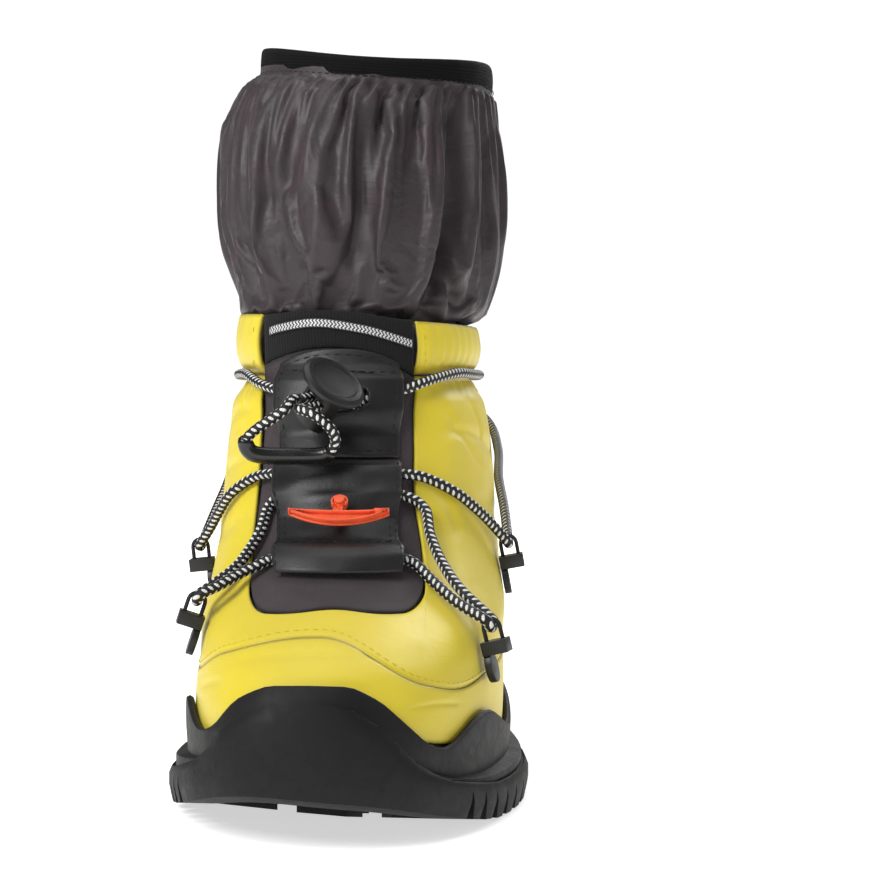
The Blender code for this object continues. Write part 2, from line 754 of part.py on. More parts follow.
def build_forefoot_shell():
    """The yellow front, one piece round both sides, with a notch for the tongue."""
    side_columns, strip_columns, low_rows, high_rows = 7, 6, 2, 10
    columns = 2 * side_columns + strip_columns
    rows = low_rows + high_rows
    top = CINCH_HEIGHT - CINCH_GROOVE

    def place(u, v):
        index, row = round(u * columns), round(v * rows)
        high_share = max(0.0, (row - low_rows) / high_rows)
        height = TONGUE_BOTTOM + (top - TONGUE_BOTTOM) * high_share
        if side_columns <= index <= side_columns + strip_columns:
            across = STRIP_HALF_WIDTH * (2 * (index - side_columns) / strip_columns - 1)
            angle = angle_at(height, across)
        else:
            side = -1 if index < side_columns else 1
            steps = side_columns - index if side < 0 else index - side_columns - strip_columns
            inner = angle_at(height, side * STRIP_HALF_WIDTH)
            outer = side * (SIDE_SEAM_ANGLE - 0.006)
            angle = inner + (outer - inner) * steps / side_columns
        if row < low_rows:
            low = toe_seam(angle)
            height = low + (TONGUE_BOTTOM - low) * row / low_rows
        return padded_skin(height, angle)

    def keep(index, row):
        in_strip = side_columns <= index < side_columns + strip_columns
        return not (in_strip and row >= low_rows)

    panel("forefoot_shell", "shell_yellow", SHELL_THICKNESS, rows, columns, place, keep)


def build_rear_quarter():
    top = CINCH_HEIGHT - CINCH_GROOVE
    start = SIDE_SEAM_ANGLE + 0.006

    def place(u, v):
        angle = start + (2 * math.pi - 2 * start) * u
        around = angle if angle < math.pi else angle - 2 * math.pi
        return padded_skin(SHELL_FOOT + (top - SHELL_FOOT) * v, around)

    panel("rear_quarter", "shell_yellow", SHELL_THICKNESS, 10, 16, place)


def build_collar():
    bottom = CINCH_HEIGHT + CINCH_GROOVE

    def place(u, v):
        height = bottom + (COLLAR_TOP - bottom) * v
        start = angle_at(height, STRIP_HALF_WIDTH)
        other = angle_at(height, -STRIP_HALF_WIDTH) + 2 * math.pi
        bulge = COLLAR_PUFF * math.sin(math.pi * v)
        return skin(height, start + (other - start) * u, SHELL_OUTER + bulge)

    panel("collar", "shell_yellow", SHELL_THICKNESS, 4, 26, place)


def tongue_arch(across):
    return TONGUE_ARCH_TOP - TONGUE_ARCH_DROP * (across / STRIP_HALF_WIDTH) ** 2


def build_tongue():
    half = STRIP_HALF_WIDTH - 1.4 * SEAM_GAP

    def mauve(u, v):
        across = half * (2 * u - 1)
        low = TONGUE_BOTTOM + SEAM_GAP
        height = low + (tongue_arch(across) - low) * v
        return front_skin(across, height, TONGUE_OUTER)

    panel("tongue_panel", "tongue_mauve", TONGUE_THICKNESS, 14, 8, mauve)

    def cuff(u, v):
        across = half * (2 * u - 1)
        low = tongue_arch(across) + SEAM_GAP
        return front_skin(across, low + (CUFF_BAND_TOP - low) * v, TONGUE_OUTER)

    panel("knit_cuff_band", "trim_black", TONGUE_THICKNESS, 3, 8, cuff)

    def tape(u, v):
        across = (half - SEAM_GAP) * (2 * u - 1)
        low, high = TAPE_HEIGHTS
        return front_skin(across, low + (high - low) * v, TONGUE_OUTER + GAP + TAPE_THICKNESS)

    panel("reflective_tape", "reflective", TAPE_THICKNESS, 1, 8, tape)


def tunnel_rise(height, tunnels):
    """How far an overlay stands off the tongue over its cord tunnels."""
    room = 2 * CORD_RADIUS + 2 * GAP
    share = 0.0
    for low, high in tunnels:
        distance = max(low - height, height - high, 0.0)
        share = max(share, smoothstep(1 - distance / TUNNEL_RAMP))
    return room * share


OVERLAY_OUTER = TONGUE_OUTER + GAP + PATCH_THICKNESS
CORD_SEAT = TONGUE_OUTER + GAP + CORD_RADIUS  # offset of a cord that lies on the tongue


def overlay(name, half, heights, tunnels, rows):
    low, high = heights

    def place(u, v):
        height = low + (high - low) * v
        return front_skin(half * (2 * u - 1), height, OVERLAY_OUTER + tunnel_rise(height, tunnels))

    return panel(name, "trim_black", PATCH_THICKNESS, rows, 6, place)


def build_overlays():
    patch = overlay("upper_lace_patch", PATCH_HALF_WIDTH, PATCH_HEIGHTS, (PATCH_TUNNEL,), 13)
    place = front_frame(*PATCH_SLOT[:2])
    slot = block("patch_slot", (*PATCH_SLOT[2:], 20 * MM), frame_matrix(place[0], place[1], place[3]),
                 cutter=True)
    boolean(patch, slot)
    flap = overlay("lower_lace_flap", FLAP_HALF_WIDTH, FLAP_HEIGHTS, FLAP_TUNNELS, 14)
    origin, sideways, _, normal = front_frame(RIVET_ACROSS, RIVET_HEIGHT)
    boolean(flap, rod("rivet_hole", RIVET_RADIUS + GAP, -2 * MM, 12 * MM,
                      frame_matrix(origin, sideways, normal), cutter=True, sides=16))


def build_lining():
    heights = [SHELL_FOOT + GAP] + [
        h * MM for h in (32, 40, 46, 51, 56, 61, 66, 72, 81, 94, 110, 126, 135, 140, 144, 154)
    ]
    heights.append(LINING_TOP)

    def place(u, v):
        height = heights[round(v * (len(heights) - 1))]
        return skin(height, 2 * math.pi * u - math.pi, LINING_OUTER)

    panel("lining_sock", "lining", LINING_THICKNESS, len(heights) - 1, 30, place, closed=True)


def build_heel_loop():
    low, high = HEEL_LOOP_HEIGHTS
    stand = SHELL_OUTER + PADDING + GAP + HEEL_LOOP_THICKNESS

    def place(u, v):
        angle = HEEL_LOOP_HALF_ANGLE * (2 * u - 1) + math.pi
        arch = HEEL_LOOP_ARCH * smoothstep(3 * v) * smoothstep(3 * (1 - v))
        return skin(low + (high - low) * v, angle, stand + arch)

    panel("heel_pull_loop", "trim_black", HEEL_LOOP_THICKNESS, 12, 4, place)


# ---------------------------------------------------------------- gaiter
def gaiter_point(height, angle):
    half, length, lean, middle = (along_points(column(GAITER, i), height) for i in (1, 2, 3, 4))
    return Vector((lean + math.sin(angle) * half, middle - math.cos(angle) * length, height))


def build_gaiter():
    low, high = GAITER[0][0], GAITER[-1][0]

    def sleeve_place(u, v):
        return gaiter_point(low + (high - low) * v, 2 * math.pi * u - math.pi)

    panel("gaiter_sleeve", "shaft_grey", GAITER_WALL, 10, 28, sleeve_place, closed=True)

    def band_place(u, v):
        bottom, top = BAND_HEIGHTS
        place = gaiter_point(high, 2 * math.pi * u - math.pi)
        return Vector((place.x, place.y, bottom + (top - bottom) * v))

    panel("gaiter_band", "trim_black", BAND_WALL, 1, 28, band_place, closed=True)


# ---------------------------------------------------------------- lace guides
def guide_frame(level, side):
    """A guide's place on the padded shell: origin, along the shoe, up its length and outward."""
    height, angle, lean = GUIDES[level, side]
    outward = last_normal(height, side * angle)
    stand = max(
        padding(height + rise * MM, angle + turn) for rise in (-8, 0, 8) for turn in (-0.08, 0, 0.08)
    )
    origin = skin(height, side * angle, SHELL_OUTER + stand + 1.5 * GAP)
    upward = Vector((0, -math.sin(lean), math.cos(lean)))
    upward = (upward - outward * upward.dot(outward)).normalized()
    rearward = upward.cross(outward)
    if rearward.y < 0:
        rearward = -rearward
    return origin, rearward, upward, outward


SLING_GAP = CORD_RADIUS + GAP + SLING_WIRE_RADIUS  # from the cord's middle to each leg's middle
SLING_MIDDLE = SLING_GAP + SLING_WIRE_RADIUS + 0.8 * MM  # from the shell to the cord's middle
HEAD_TOP = TAB_LENGTH / 2 + TAB_HEAD[1]


def build_guide(level, side):
    """A moulded tab whose head holds the two ends of a cord sling; the lace runs in the sling."""
    ending = f"{level}_{'lateral' if side > 0 else 'medial'}"
    origin, rearward, upward, outward = guide_frame(level, side)
    flat = frame_matrix(origin, rearward, outward)
    tab = rod(f"guide_tab_{ending}", TAB_WIDTH / 2, 0, TAB_THICKNESS, flat, "lock_plastic",
              sides=20, stretch=TAB_LENGTH / TAB_WIDTH)
    head_place = origin + upward * (HEAD_TOP - TAB_HEAD[1] / 2 - 1 * MM) + outward * TAB_HEAD[2] / 2
    head = block(f"head_{ending}", TAB_HEAD, frame_matrix(head_place, rearward, outward), cutter=True)
    boolean(tab, head, "UNION")
    legs = [
        origin + upward * (HEAD_TOP - 4 * MM) + outward * (SLING_MIDDLE + way * SLING_GAP)
        for way in (-1, 1)
    ]
    for way, leg in zip(("inner", "outer"), legs):
        socket = rod(f"socket_{way}_{ending}", SLING_WIRE_RADIUS + GAP, 0, 12 * MM,
                     frame_matrix(leg, rearward, upward), cutter=True, sides=12)
        boolean(tab, socket)
    tip = origin + upward * (HEAD_TOP - 1 * MM + SLING_REACH - SLING_GAP) + outward * SLING_MIDDLE
    bend = [
        tip + (upward * math.sin(turn) - outward * math.cos(turn)) * SLING_GAP
        for turn in (math.pi * i / 8 for i in range(9))
    ]
    route = [legs[0] + upward * GAP, *bend, legs[1] + upward * GAP]
    cord(f"guide_sling_{ending}", route, "trim_black", SLING_WIRE_RADIUS)


TURN_RADIUS = 3.4 * MM


def guide_turn(level, side, front_spread, rear_spread):
    """The lace's turn inside a guide's sling, from its front strand to its rear one."""
    origin, rearward, upward, outward = guide_frame(level, side)
    tip = HEAD_TOP - 1 * MM + SLING_REACH - SLING_WIRE_RADIUS - GAP - CORD_RADIUS
    centre = origin + upward * (tip + TURN_RADIUS) + outward * SLING_MIDDLE
    turns = [-front_spread, -front_spread / 2, 0, rear_spread / 2, rear_spread]
    return [centre + (rearward * math.sin(t) - upward * math.cos(t)) * TURN_RADIUS for t in turns]


# ---------------------------------------------------------------- lacing
def over_shell(height, angle, extra=0.0):
    """A lace's middle where it lies on the padded shell."""
    return padded_skin(height, angle, GAP + CORD_RADIUS + extra)


def on_tongue(across, height, extra=0.0):
    return front_skin(across, height, CORD_SEAT + extra)


def lace_across(start, finish, side, lifts):
    """A lace stretched over the padded shell between two places given as (height, y)."""
    points = []
    for share, lift_off in lifts:
        height = start[0] + (finish[0] - start[0]) * share
        y = start[1] + (finish[1] - start[1]) * share
        points.append(over_shell(height, side * angle_at_y(height, y), lift_off * MM))
    return points


def strand(level, channel, side):
    """From the flap's edge to just before a guide, over the tongue and on to the shell."""
    height = PULL_CHANNELS[channel]
    edge = on_tongue((FLAP_HALF_WIDTH + 1 * MM) * side, height)
    first = height - STRAND_DROP[channel]
    strip = front_skin(side * STRIP_HALF_WIDTH, first, SHELL_OUTER + CORD_RADIUS + 3 * GAP)
    turn = guide_turn(level, side, 0, 0)[2]
    lifts = ((0.25, 0.7), (0.5, 0.7), (0.75, 1.5))
    return [edge, strip, *lace_across((first, strip.y), (turn.z, turn.y), side, lifts)]


STRAND_DROP = {"main": 2.0 * MM, "upper": 5.5 * MM, "lower": 3 * MM}


def vamp_lace_route():
    points = []
    for side in (1, -1):
        upper = strand("lower", "upper", side)
        lower = strand("lower", "lower", side)
        turn = guide_turn("lower", side, 1.3, 1.1)
        leg = [*upper, *reversed(turn), *reversed(lower)]
        points += leg if side > 0 else list(reversed(leg))
        channel = PULL_CHANNELS["lower" if side > 0 else "upper"]
        points += [on_tongue(side * across * MM, channel) for across in (13, 4.5, -4.5, -13)]
    return points


def closed_cord(name, points, step):
    """A cord whose ends meet, as one tube."""
    route = smooth_route([points[-1], *points, points[0], points[1]], step)
    start = min(range(len(route)), key=lambda i: (route[i] - points[0]).length)
    finish = max(i for i in range(len(route)) if (route[i] - points[0]).length < 1e-7)
    curve = poly_curve(name, route[start:finish], CORD_RADIUS, caps=False)
    curve.splines[0].use_cyclic_u = True
    return link(name, curve, "lace_cord")


def lock_axes():
    """The cord lock's centre, strand spacing direction, strand exit direction and own axis."""
    across, height, offset = LOCK_PLACE
    origin, sideways, upward, outward = front_frame(across, height, offset)
    axes = [
        (sideways * v.x + upward * v.y + outward * v.z).normalized() for v in (LOCK_AXIS, LOCK_EXIT)
    ]
    axis = axes[0]
    leave = (axes[1] - axis * axes[1].dot(axis)).normalized()
    return origin, axis.cross(leave), leave, axis


LOCK_STUB = LOCK_DEPTH / 2 + LOCK_SLIDE + GAP  # straight cord beyond the lock's middle
HINGE_DISTANCE = LOCK_STUB + CORD_RADIUS + GAP


def main_lace_run(side):
    """One half of the main lace, from the cord lock round the ankle to the flap's middle."""
    centre, spacing, leave, _ = lock_axes()
    strand_middle = centre + spacing * side * STRAND_SPACING / 2
    points = [strand_middle + leave * LOCK_STUB, strand_middle - leave * 8 * MM]
    points.append(strand_middle - leave * 11.5 * MM)
    low = 130 * MM if side > 0 else 134.2 * MM
    points.append(on_tongue(LOCK_PLACE[0] + (5.3 + 5 * side) * MM, low, 0.2 * MM))
    for across, height in ((13, 135), (PATCH_HALF_WIDTH / MM + 1, 136.5)):
        points.append(on_tongue(side * across * MM, height * MM))
    points.append(front_skin(side * STRIP_HALF_WIDTH, 139 * MM, GAP + CORD_RADIUS + 0.3 * MM))
    for angle in (0.95, 1.25, 1.6, 1.95, 2.3, 2.6):
        points.append(skin(CINCH_HEIGHT, side * angle, GAP + CORD_RADIUS))
    bump = 4.4 * MM if side > 0 else 0.0
    for angle, share in ((2.85, 0.35), (3.0, 0.9), (math.pi, 1.0), (2 * math.pi - 3.0, 0.9)):
        points.append(skin(CINCH_HEIGHT, side * angle, GAP + CORD_RADIUS + bump * share))
    points.append(over_shell(140.5 * MM, -side * 2.85, bump * 0.35))
    turn = guide_turn("upper", -side, 0.6, 0.45)
    start, finish = (135 * MM, 112 * MM), (turn[-1].z, turn[-1].y)
    points += lace_across(start, finish, -side, ((0, 0.6), (0.2, 0.5), (0.4, 0.5), (0.6, 0.5), (0.8, 1.4)))
    points += reversed(turn)
    points += reversed(strand("upper", "main", -side))
    points += [on_tongue(-side * across * MM, PULL_CHANNELS["main"]) for across in (13, 4.5)]
    return points


def build_lacing():
    closed_cord("lace_vamp", vamp_lace_route(), 9 * MM)
    run = main_lace_run(1)
    back = main_lace_run(-1)
    cord("lace_main", smooth_route([*run, *reversed(back)], 9 * MM))


# ---------------------------------------------------------------- cord lock and pull loop
def build_cord_lock():
    centre, spacing, leave, axis = lock_axes()
    place = frame_matrix(centre, spacing, axis)
    squash = LOCK_DEPTH / LOCK_WIDTH
    bore_radius = LOCK_WIDTH / 2 - LOCK_WALL
    bore_squash = (LOCK_DEPTH / 2 - LOCK_WALL) / bore_radius
    body = rod("cord_lock_body", LOCK_WIDTH / 2, LOCK_BOTTOM, LOCK_TOP, place, "lock_plastic",
               sides=28, stretch=squash)
    boolean(body, rod("lock_bore", bore_radius, LOCK_BOTTOM + LOCK_FLOOR, LOCK_TOP + 5 * MM, place,
                      cutter=True, sides=28, stretch=bore_squash))
    slot = (STRAND_SPACING + 2 * CORD_RADIUS + 2 * GAP, 30 * MM, 2 * CORD_RADIUS + 2 * GAP)
    boolean(body, block("lock_slot", slot, place, cutter=True))

    under = LOCK_TOP + BUTTON_TRAVEL + GAP
    profile = [
        (BUTTON_RADIUS - 1.2 * MM, under),
        (BUTTON_RADIUS, under + 0.8 * MM),
        (BUTTON_RADIUS - 0.2 * MM, under + 0.62 * BUTTON_THICKNESS),
        (BUTTON_RADIUS - 1.6 * MM, under + 0.9 * BUTTON_THICKNESS),
        (BUTTON_RADIUS * 0.55, under + BUTTON_THICKNESS),
    ]
    rings = [
        [Vector((r * math.cos(a), r * math.sin(a), z)) for a in (2 * math.pi * i / 32 for i in range(32))]
        for r, z in profile
    ]
    button = ring_solid("cord_lock_button", rings, "lock_plastic", ladder=False)
    button.matrix_world = place
    stem_radius = bore_radius - GAP
    stem_squash = (LOCK_DEPTH / 2 - LOCK_WALL - GAP) / stem_radius
    boolean(button, rod("lock_stem", stem_radius, STEM_BOTTOM, under + 1 * MM, place, cutter=True,
                        sides=28, stretch=stem_squash), "UNION")
    slot_low, slot_high = -CORD_RADIUS - GAP, CORD_RADIUS + GAP + BUTTON_TRAVEL
    window = block("stem_slot", (slot[0], 30 * MM, slot_high - slot_low),
                   frame_matrix(centre + axis * (slot_low + slot_high) / 2, spacing, axis), cutter=True)
    boolean(button, window)

    low = LOCK_BOTTOM + LOCK_FLOOR + SPRING_WIRE_RADIUS + 0.1 * MM
    high = STEM_BOTTOM - SPRING_WIRE_RADIUS - 0.1 * MM
    count = round(SPRING_TURNS * 10)
    coil = []
    for i in range(count + 1):
        turn = 2 * math.pi * SPRING_TURNS * i / count
        flat = spacing * math.cos(turn) + leave * math.sin(turn)
        coil.append(centre + flat * SPRING_RADIUS + axis * (low + (high - low) * i / count))
    cord("cord_lock_spring", coil, "steel", SPRING_WIRE_RADIUS)


def loop_route():
    """The pull loop from its left hinge end to its right one, out of the lock and down again."""
    centre, spacing, leave, _ = lock_axes()
    left, right = (
        centre + leave * HINGE_DISTANCE + spacing * side * STRAND_SPACING / 2 for side in (-1, 1)
    )
    hang = [
        (-4.6, -4.2, -1.8), (-9.8, -4.6, -5.6), (-14.6, -4.0, -8.8), (-18.0, -3.0, -12.4),
        (-17.0, -2.2, -16.0), (-12.6, -1.6, -17.6), (-2.0, -0.8, -17.8), (7.0, -0.8, -17.6),
        (10.6, -1.6, -16.4), (12.6, -3.2, -13.0), (11.6, -4.8, -9.0), (8.2, -5.8, -5.6),
        (4.0, -5.6, -2.8),
    ]
    middle = (left + right) / 2
    return [
        left, left + leave * 2 * MM,
        *[middle + Vector(step) * MM for step in hang],
        right + leave * 2 * MM, right,
    ]


def build_pull_loop():
    route = smooth_route(loop_route(), 2.5 * MM)
    loop = cord("pull_loop_cord", route)
    length, marks = 0.0, [0.0]
    for a, b in zip(route, route[1:]):
        length += (b - a).length
        marks.append(length)
    tube = [p for p, mark in zip(route, marks) if TUBE_SPAN[0] * length < mark < TUBE_SPAN[1] * length]
    inner = CORD_RADIUS + 0.55 * MM
    mesh = as_mesh("pull_loop_tube", poly_curve("tube_line", tube, inner + TUBE_WALL, 2, caps=False))
    obj = link("pull_loop_tube", mesh, "lock_plastic")
    wall = obj.modifiers.new("wall", "SOLIDIFY")
    wall.thickness = TUBE_WALL
    wall.offset = -1
    centre, spacing, leave, axis = lock_axes()
    hinge = link("pull_loop_hinge", None)
    hinge.matrix_world = frame_matrix(centre + leave * HINGE_DISTANCE, spacing, axis)
    for piece in (loop, obj):
        piece.parent = hinge
        piece.matrix_parent_inverse = hinge.matrix_world.inverted()


TUBE_SPAN = (0.28, 0.70)  # share of the loop's length that the tube covers


def build_orange_pull():
    origin, sideways, upward, outward = front_frame(RIVET_ACROSS, RIVET_HEIGHT)
    place = frame_matrix(origin + outward * PULL_STANDOFF, sideways, outward)
    half = PULL_LENGTH / 2
    steps = [i / 8 - 1 for i in range(17)]
    top = [(half * t, -PULL_DROP + 0.9 * MM * t * t) for t in steps]
    bottom = [
        (half * t, -PULL_DROP + 0.9 * MM * t * t - 0.9 * MM - (PULL_DEPTH - 1.8 * MM) * (1 - t * t))
        for t in reversed(steps)
    ]
    outline = [Vector((x, y, 0)) for x, y in top + bottom]
    bm = bmesh.new()
    lower = [bm.verts.new(p) for p in outline]
    upper = [bm.verts.new(p + Vector((0, 0, PULL_THICKNESS))) for p in outline]
    count = len(outline)
    for i in range(count):
        j = (i + 1) % count
        bm.faces.new((lower[i], lower[j], upper[j], upper[i]))
    for i in range(len(steps) - 1):
        j = count - 1 - i
        bm.faces.new((upper[i], upper[i + 1], upper[j - 1], upper[j]))
        bm.faces.new((lower[j], lower[j - 1], lower[i + 1], lower[i]))
    bmesh.ops.recalc_face_normals(bm, faces=bm.faces)
    pull = mesh_from(bm, "orange_pull", "pull_orange")
    pull.matrix_world = place
    neck = (2.6 * MM, PULL_DROP, PULL_THICKNESS * 0.8)
    neck_place = place @ Matrix.Translation((0, -PULL_DROP / 2 - 0.4 * MM, PULL_THICKNESS * 0.45))
    boolean(pull, block("pull_neck", neck, neck_place, cutter=True), "UNION")
    boolean(pull, rod("pull_eye", PULL_EYE_RADIUS, 0.1 * MM, PULL_THICKNESS * 0.9, place, cutter=True), "UNION")
    boolean(pull, rod("pull_eye_hole", RIVET_RADIUS + GAP, -5 * MM, 8 * MM, place, cutter=True, sides=16))

    under = OVERLAY_OUTER + tunnel_rise(RIVET_HEIGHT, FLAP_TUNNELS) - PATCH_THICKNESS - 1.8 * MM
    rivet = rod("pull_rivet", RIVET_RADIUS, under - 0.4 * MM, PULL_STANDOFF + PULL_THICKNESS + 0.6 * MM,
                frame_matrix(origin, sideways, outward), "steel", sides=16)
    for name, low in (("rivet_head", PULL_STANDOFF + PULL_THICKNESS + 0.1 * MM), ("rivet_foot", under - 0.8 * MM)):
        boolean(rivet, rod(name, RIVET_HEAD_RADIUS, low, low + 0.8 * MM,
                           frame_matrix(origin, sideways, outward), cutter=True, sides=20), "UNION")


def build():
    clear_scene()
    build_outsole()
    build_cup()
    build_sole_layers()
    build_vamp()
    build_forefoot_shell()
    build_rear_quarter()
    build_collar()
    build_tongue()
    build_overlays()
    build_lining()
    build_heel_loop()
    build_gaiter()
    for level, side in GUIDES:
        build_guide(level, side)
    build_lacing()
    build_cord_lock()
    build_pull_loop()
    build_orange_pull()


for leftover in list(bpy.data.collections):
    bpy.data.collections.remove(leftover)
BOOT = bpy.data.collections.new("mountain_boot")
CUTTERS = bpy.data.collections.new("cutters")
CUTTERS.hide_render = True
bpy.context.scene.collection.children.link(BOOT)
bpy.context.scene.collection.children.link(CUTTERS)
build()
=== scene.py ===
"""Looks of an insulated winter mountain boot with a pull-up gaiter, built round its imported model.

Soft panels are laid on the same last as the model: a place on it is a height, an angle round the
foot (0 at the toe, positive on the lateral side) and an offset along the outward normal.
"""

import json
import math

import bpy
import numpy as np
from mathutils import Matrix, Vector


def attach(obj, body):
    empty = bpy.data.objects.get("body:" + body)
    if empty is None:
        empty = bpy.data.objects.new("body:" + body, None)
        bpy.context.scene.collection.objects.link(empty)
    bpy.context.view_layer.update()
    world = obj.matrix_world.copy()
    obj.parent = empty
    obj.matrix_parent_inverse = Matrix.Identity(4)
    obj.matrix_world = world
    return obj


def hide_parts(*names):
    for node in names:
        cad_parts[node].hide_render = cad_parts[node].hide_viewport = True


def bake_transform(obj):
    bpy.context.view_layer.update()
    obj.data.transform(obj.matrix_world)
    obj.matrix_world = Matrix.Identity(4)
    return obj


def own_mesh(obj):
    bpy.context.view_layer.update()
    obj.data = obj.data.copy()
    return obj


bl_info = {
    "name": "Winter mountain boot",
    "version": (1, 0, 0),
    "blender": (4, 5, 0),
    "location": "View3D > Sidebar > Boot",
    "description": "Builds the fabrics, rubber, cords and fittings of an insulated boot with a gaiter",
    "category": "Add Mesh",
}

MM = 0.001
PI = math.pi
CAMERA_PLACE, CAMERA_TURN = (67.0 * MM, -781.2 * MM, 134.2 * MM), math.radians(5.13)
CAMERA_LENS, CAMERA_SHIFT = 89.7, (0.0947, -0.0444)
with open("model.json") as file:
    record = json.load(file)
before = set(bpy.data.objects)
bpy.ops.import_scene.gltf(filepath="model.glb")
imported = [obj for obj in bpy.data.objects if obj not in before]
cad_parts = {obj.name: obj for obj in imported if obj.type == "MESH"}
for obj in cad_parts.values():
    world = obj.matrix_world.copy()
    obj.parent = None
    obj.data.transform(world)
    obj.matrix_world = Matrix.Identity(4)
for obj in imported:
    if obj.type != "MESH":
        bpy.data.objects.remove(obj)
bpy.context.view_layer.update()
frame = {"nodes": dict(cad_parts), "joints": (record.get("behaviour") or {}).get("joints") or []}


# ---------------------------------------------------------------- small maths on arrays
def smooth(value):
    value = np.clip(value, 0.0, 1.0)
    return value * value * (3 - 2 * value)


def curve_through(points):
    """Monotone cubic through (position, value) points, as a function of arrays."""
    xs, ys = np.array(points, float).T
    steps = np.diff(xs)
    slopes = np.diff(ys) / steps
    tangents = np.zeros_like(xs)
    tangents[0], tangents[-1] = slopes[0], slopes[-1]
    for i in range(1, len(xs) - 1):
        before, after = slopes[i - 1], slopes[i]
        tangents[i] = 0.0 if before * after <= 0 else 2 * before * after / (before + after)

    def at(x):
        x = np.clip(x, xs[0], xs[-1])
        i = np.clip(np.searchsorted(xs, x, side="right") - 1, 0, len(xs) - 2)
        w, t = steps[i], (x - xs[i]) / steps[i]
        return (
            (2 * t**3 - 3 * t**2 + 1) * ys[i]
            + (t**3 - 2 * t**2 + t) * w * tangents[i]
            + (3 * t**2 - 2 * t**3) * ys[i + 1]
            + (t**3 - t**2) * w * tangents[i + 1]
        )

    return at


def ripples(x, y, pitch, seed, count=9, stretch=1.0):
    """Smooth wandering relief from -1 to 1 with features about a pitch apart."""
    dice = np.random.default_rng(seed)
    total = 0.0
    for _ in range(count):
        turn, phase = dice.uniform(0, PI), dice.uniform(0, 2 * PI)
        k = 2 * PI / (pitch * dice.uniform(0.7, 1.6))
        total = total + np.sin(k * (x * math.cos(turn) + y * stretch * math.sin(turn)) + phase)
    return total / count * 1.6


def crease(x, y, start, end, width, bend=0.0):
    """A single fold's profile, 1 along its line and fading out over its width and its ends."""
    (x0, y0), (x1, y1) = start, end
    long = math.hypot(x1 - x0, y1 - y0)
    along = ((x - x0) * (x1 - x0) + (y - y0) * (y1 - y0)) / long**2
    across = ((x - x0) * (y1 - y0) - (y - y0) * (x1 - x0)) / long
    across = across + bend * 4 * along * (1 - along)
    ends = smooth((along + 0.08) / 0.3) * smooth((1.08 - along) / 0.3)
    return np.exp(-((across / width) ** 2)) * ends


def folds(x, y, *rows):
    """The sum of several creases, each (x0, y0, x1, y1, width, depth, bend) in mm."""
    total = 0.0
    for x0, y0, x1, y1, width, depth, bend in np.array(rows) * MM:
        total = total + depth * crease(x, y, (x0, y0), (x1, y1), width, bend)
    return total


def spans(start, end, columns, rows, closed=False):
    """Two grids: from start to end across the columns, and from 0 to 1 up the rows."""
    return np.meshgrid(np.linspace(start, end, columns + closed)[:columns], np.linspace(0, 1, rows))


def running(path):
    """How far along a path each of its points is."""
    return np.concatenate([[0.0], np.cumsum(np.linalg.norm(np.diff(path, axis=0), axis=1))])


# ---------------------------------------------------------------- the last
STATIONS = MM * np.array([
    (14, -137, 137, 51.5, 0), (25, -139, 139, 53.5, 0), (38, -136.5, 139, 53.8, 0.2),
    (48, -129, 139, 53.4, 0.3), (56, -117, 138.5, 52.6, 0), (63, -101, 137.5, 51.8, -0.6),
    (70, -84, 136, 51.0, -1.4), (80, -66, 133.5, 50.0, -2.4), (92, -50, 130.5, 49.0, -3.2),
    (106, -36, 128, 48.2, -3.8), (120, -25, 126, 47.4, -4.4), (133, -17.5, 124, 45.6, -5.0),
    (142, -13.5, 122, 43.6, -5.4), (152, -10.5, 123, 45.0, -5.8), (172, -8, 124, 45.6, -6.0),
])
FRONT, BACK, HALF, LEAN = (curve_through(STATIONS[:, [0, i]]) for i in (1, 2, 3, 4))
TOE_SEAM = curve_through([
    (-1.75, 47 * MM), (-1.1, 45 * MM), (-0.6, 54 * MM), (0.0, 60 * MM), (0.6, 45.5 * MM),
    (0.85, 42.5 * MM), (1.1, 45 * MM), (1.75, 52 * MM),
])
CUP_EDGE = curve_through([
    (0.0, 44 * MM), (0.34, 43 * MM), (0.66, 27.5 * MM), (0.97, 37 * MM), (1.3, 26 * MM),
    (1.62, 34 * MM), (2.0, 27 * MM), (2.4, 36 * MM), (2.8, 56 * MM), (PI, 60 * MM),
])
SHELL_FOOT, SIDE_SEAM, SEAM_GAP, STRIP, STRIP_FOOT = 24 * MM, 1.62, 0.004, 28.5 * MM, 66 * MM
CINCH, COLLAR_TOP = 143 * MM, 166.5 * MM
ON_TONGUE = -0.6 * MM
OVERLAY, OVERLAY_WALL = 1.1 * MM, 1.2 * MM
PATCH_HALF, PATCH_FOOT = 21 * MM, 113 * MM
FLAP_HALF, FLAP_FOOT, FLAP_RISE = 20.5 * MM, 75 * MM, 36.5 * MM
PATCH_SLOT = (2.6 * MM, 132 * MM, 7.5 * MM, 4.5 * MM)


def powered(value):
    """Makes a section a little squarer than an ellipse."""
    return np.sign(value) * np.abs(value) ** 0.87


def lift(y, height):
    """How much the toe springs up off the ground, less and less with height."""
    share = np.maximum(0.0, (-80 * MM - y) / (65 * MM))
    return 15 * MM * share**1.6 * (1 - smooth((height - 14 * MM) / (31 * MM)))


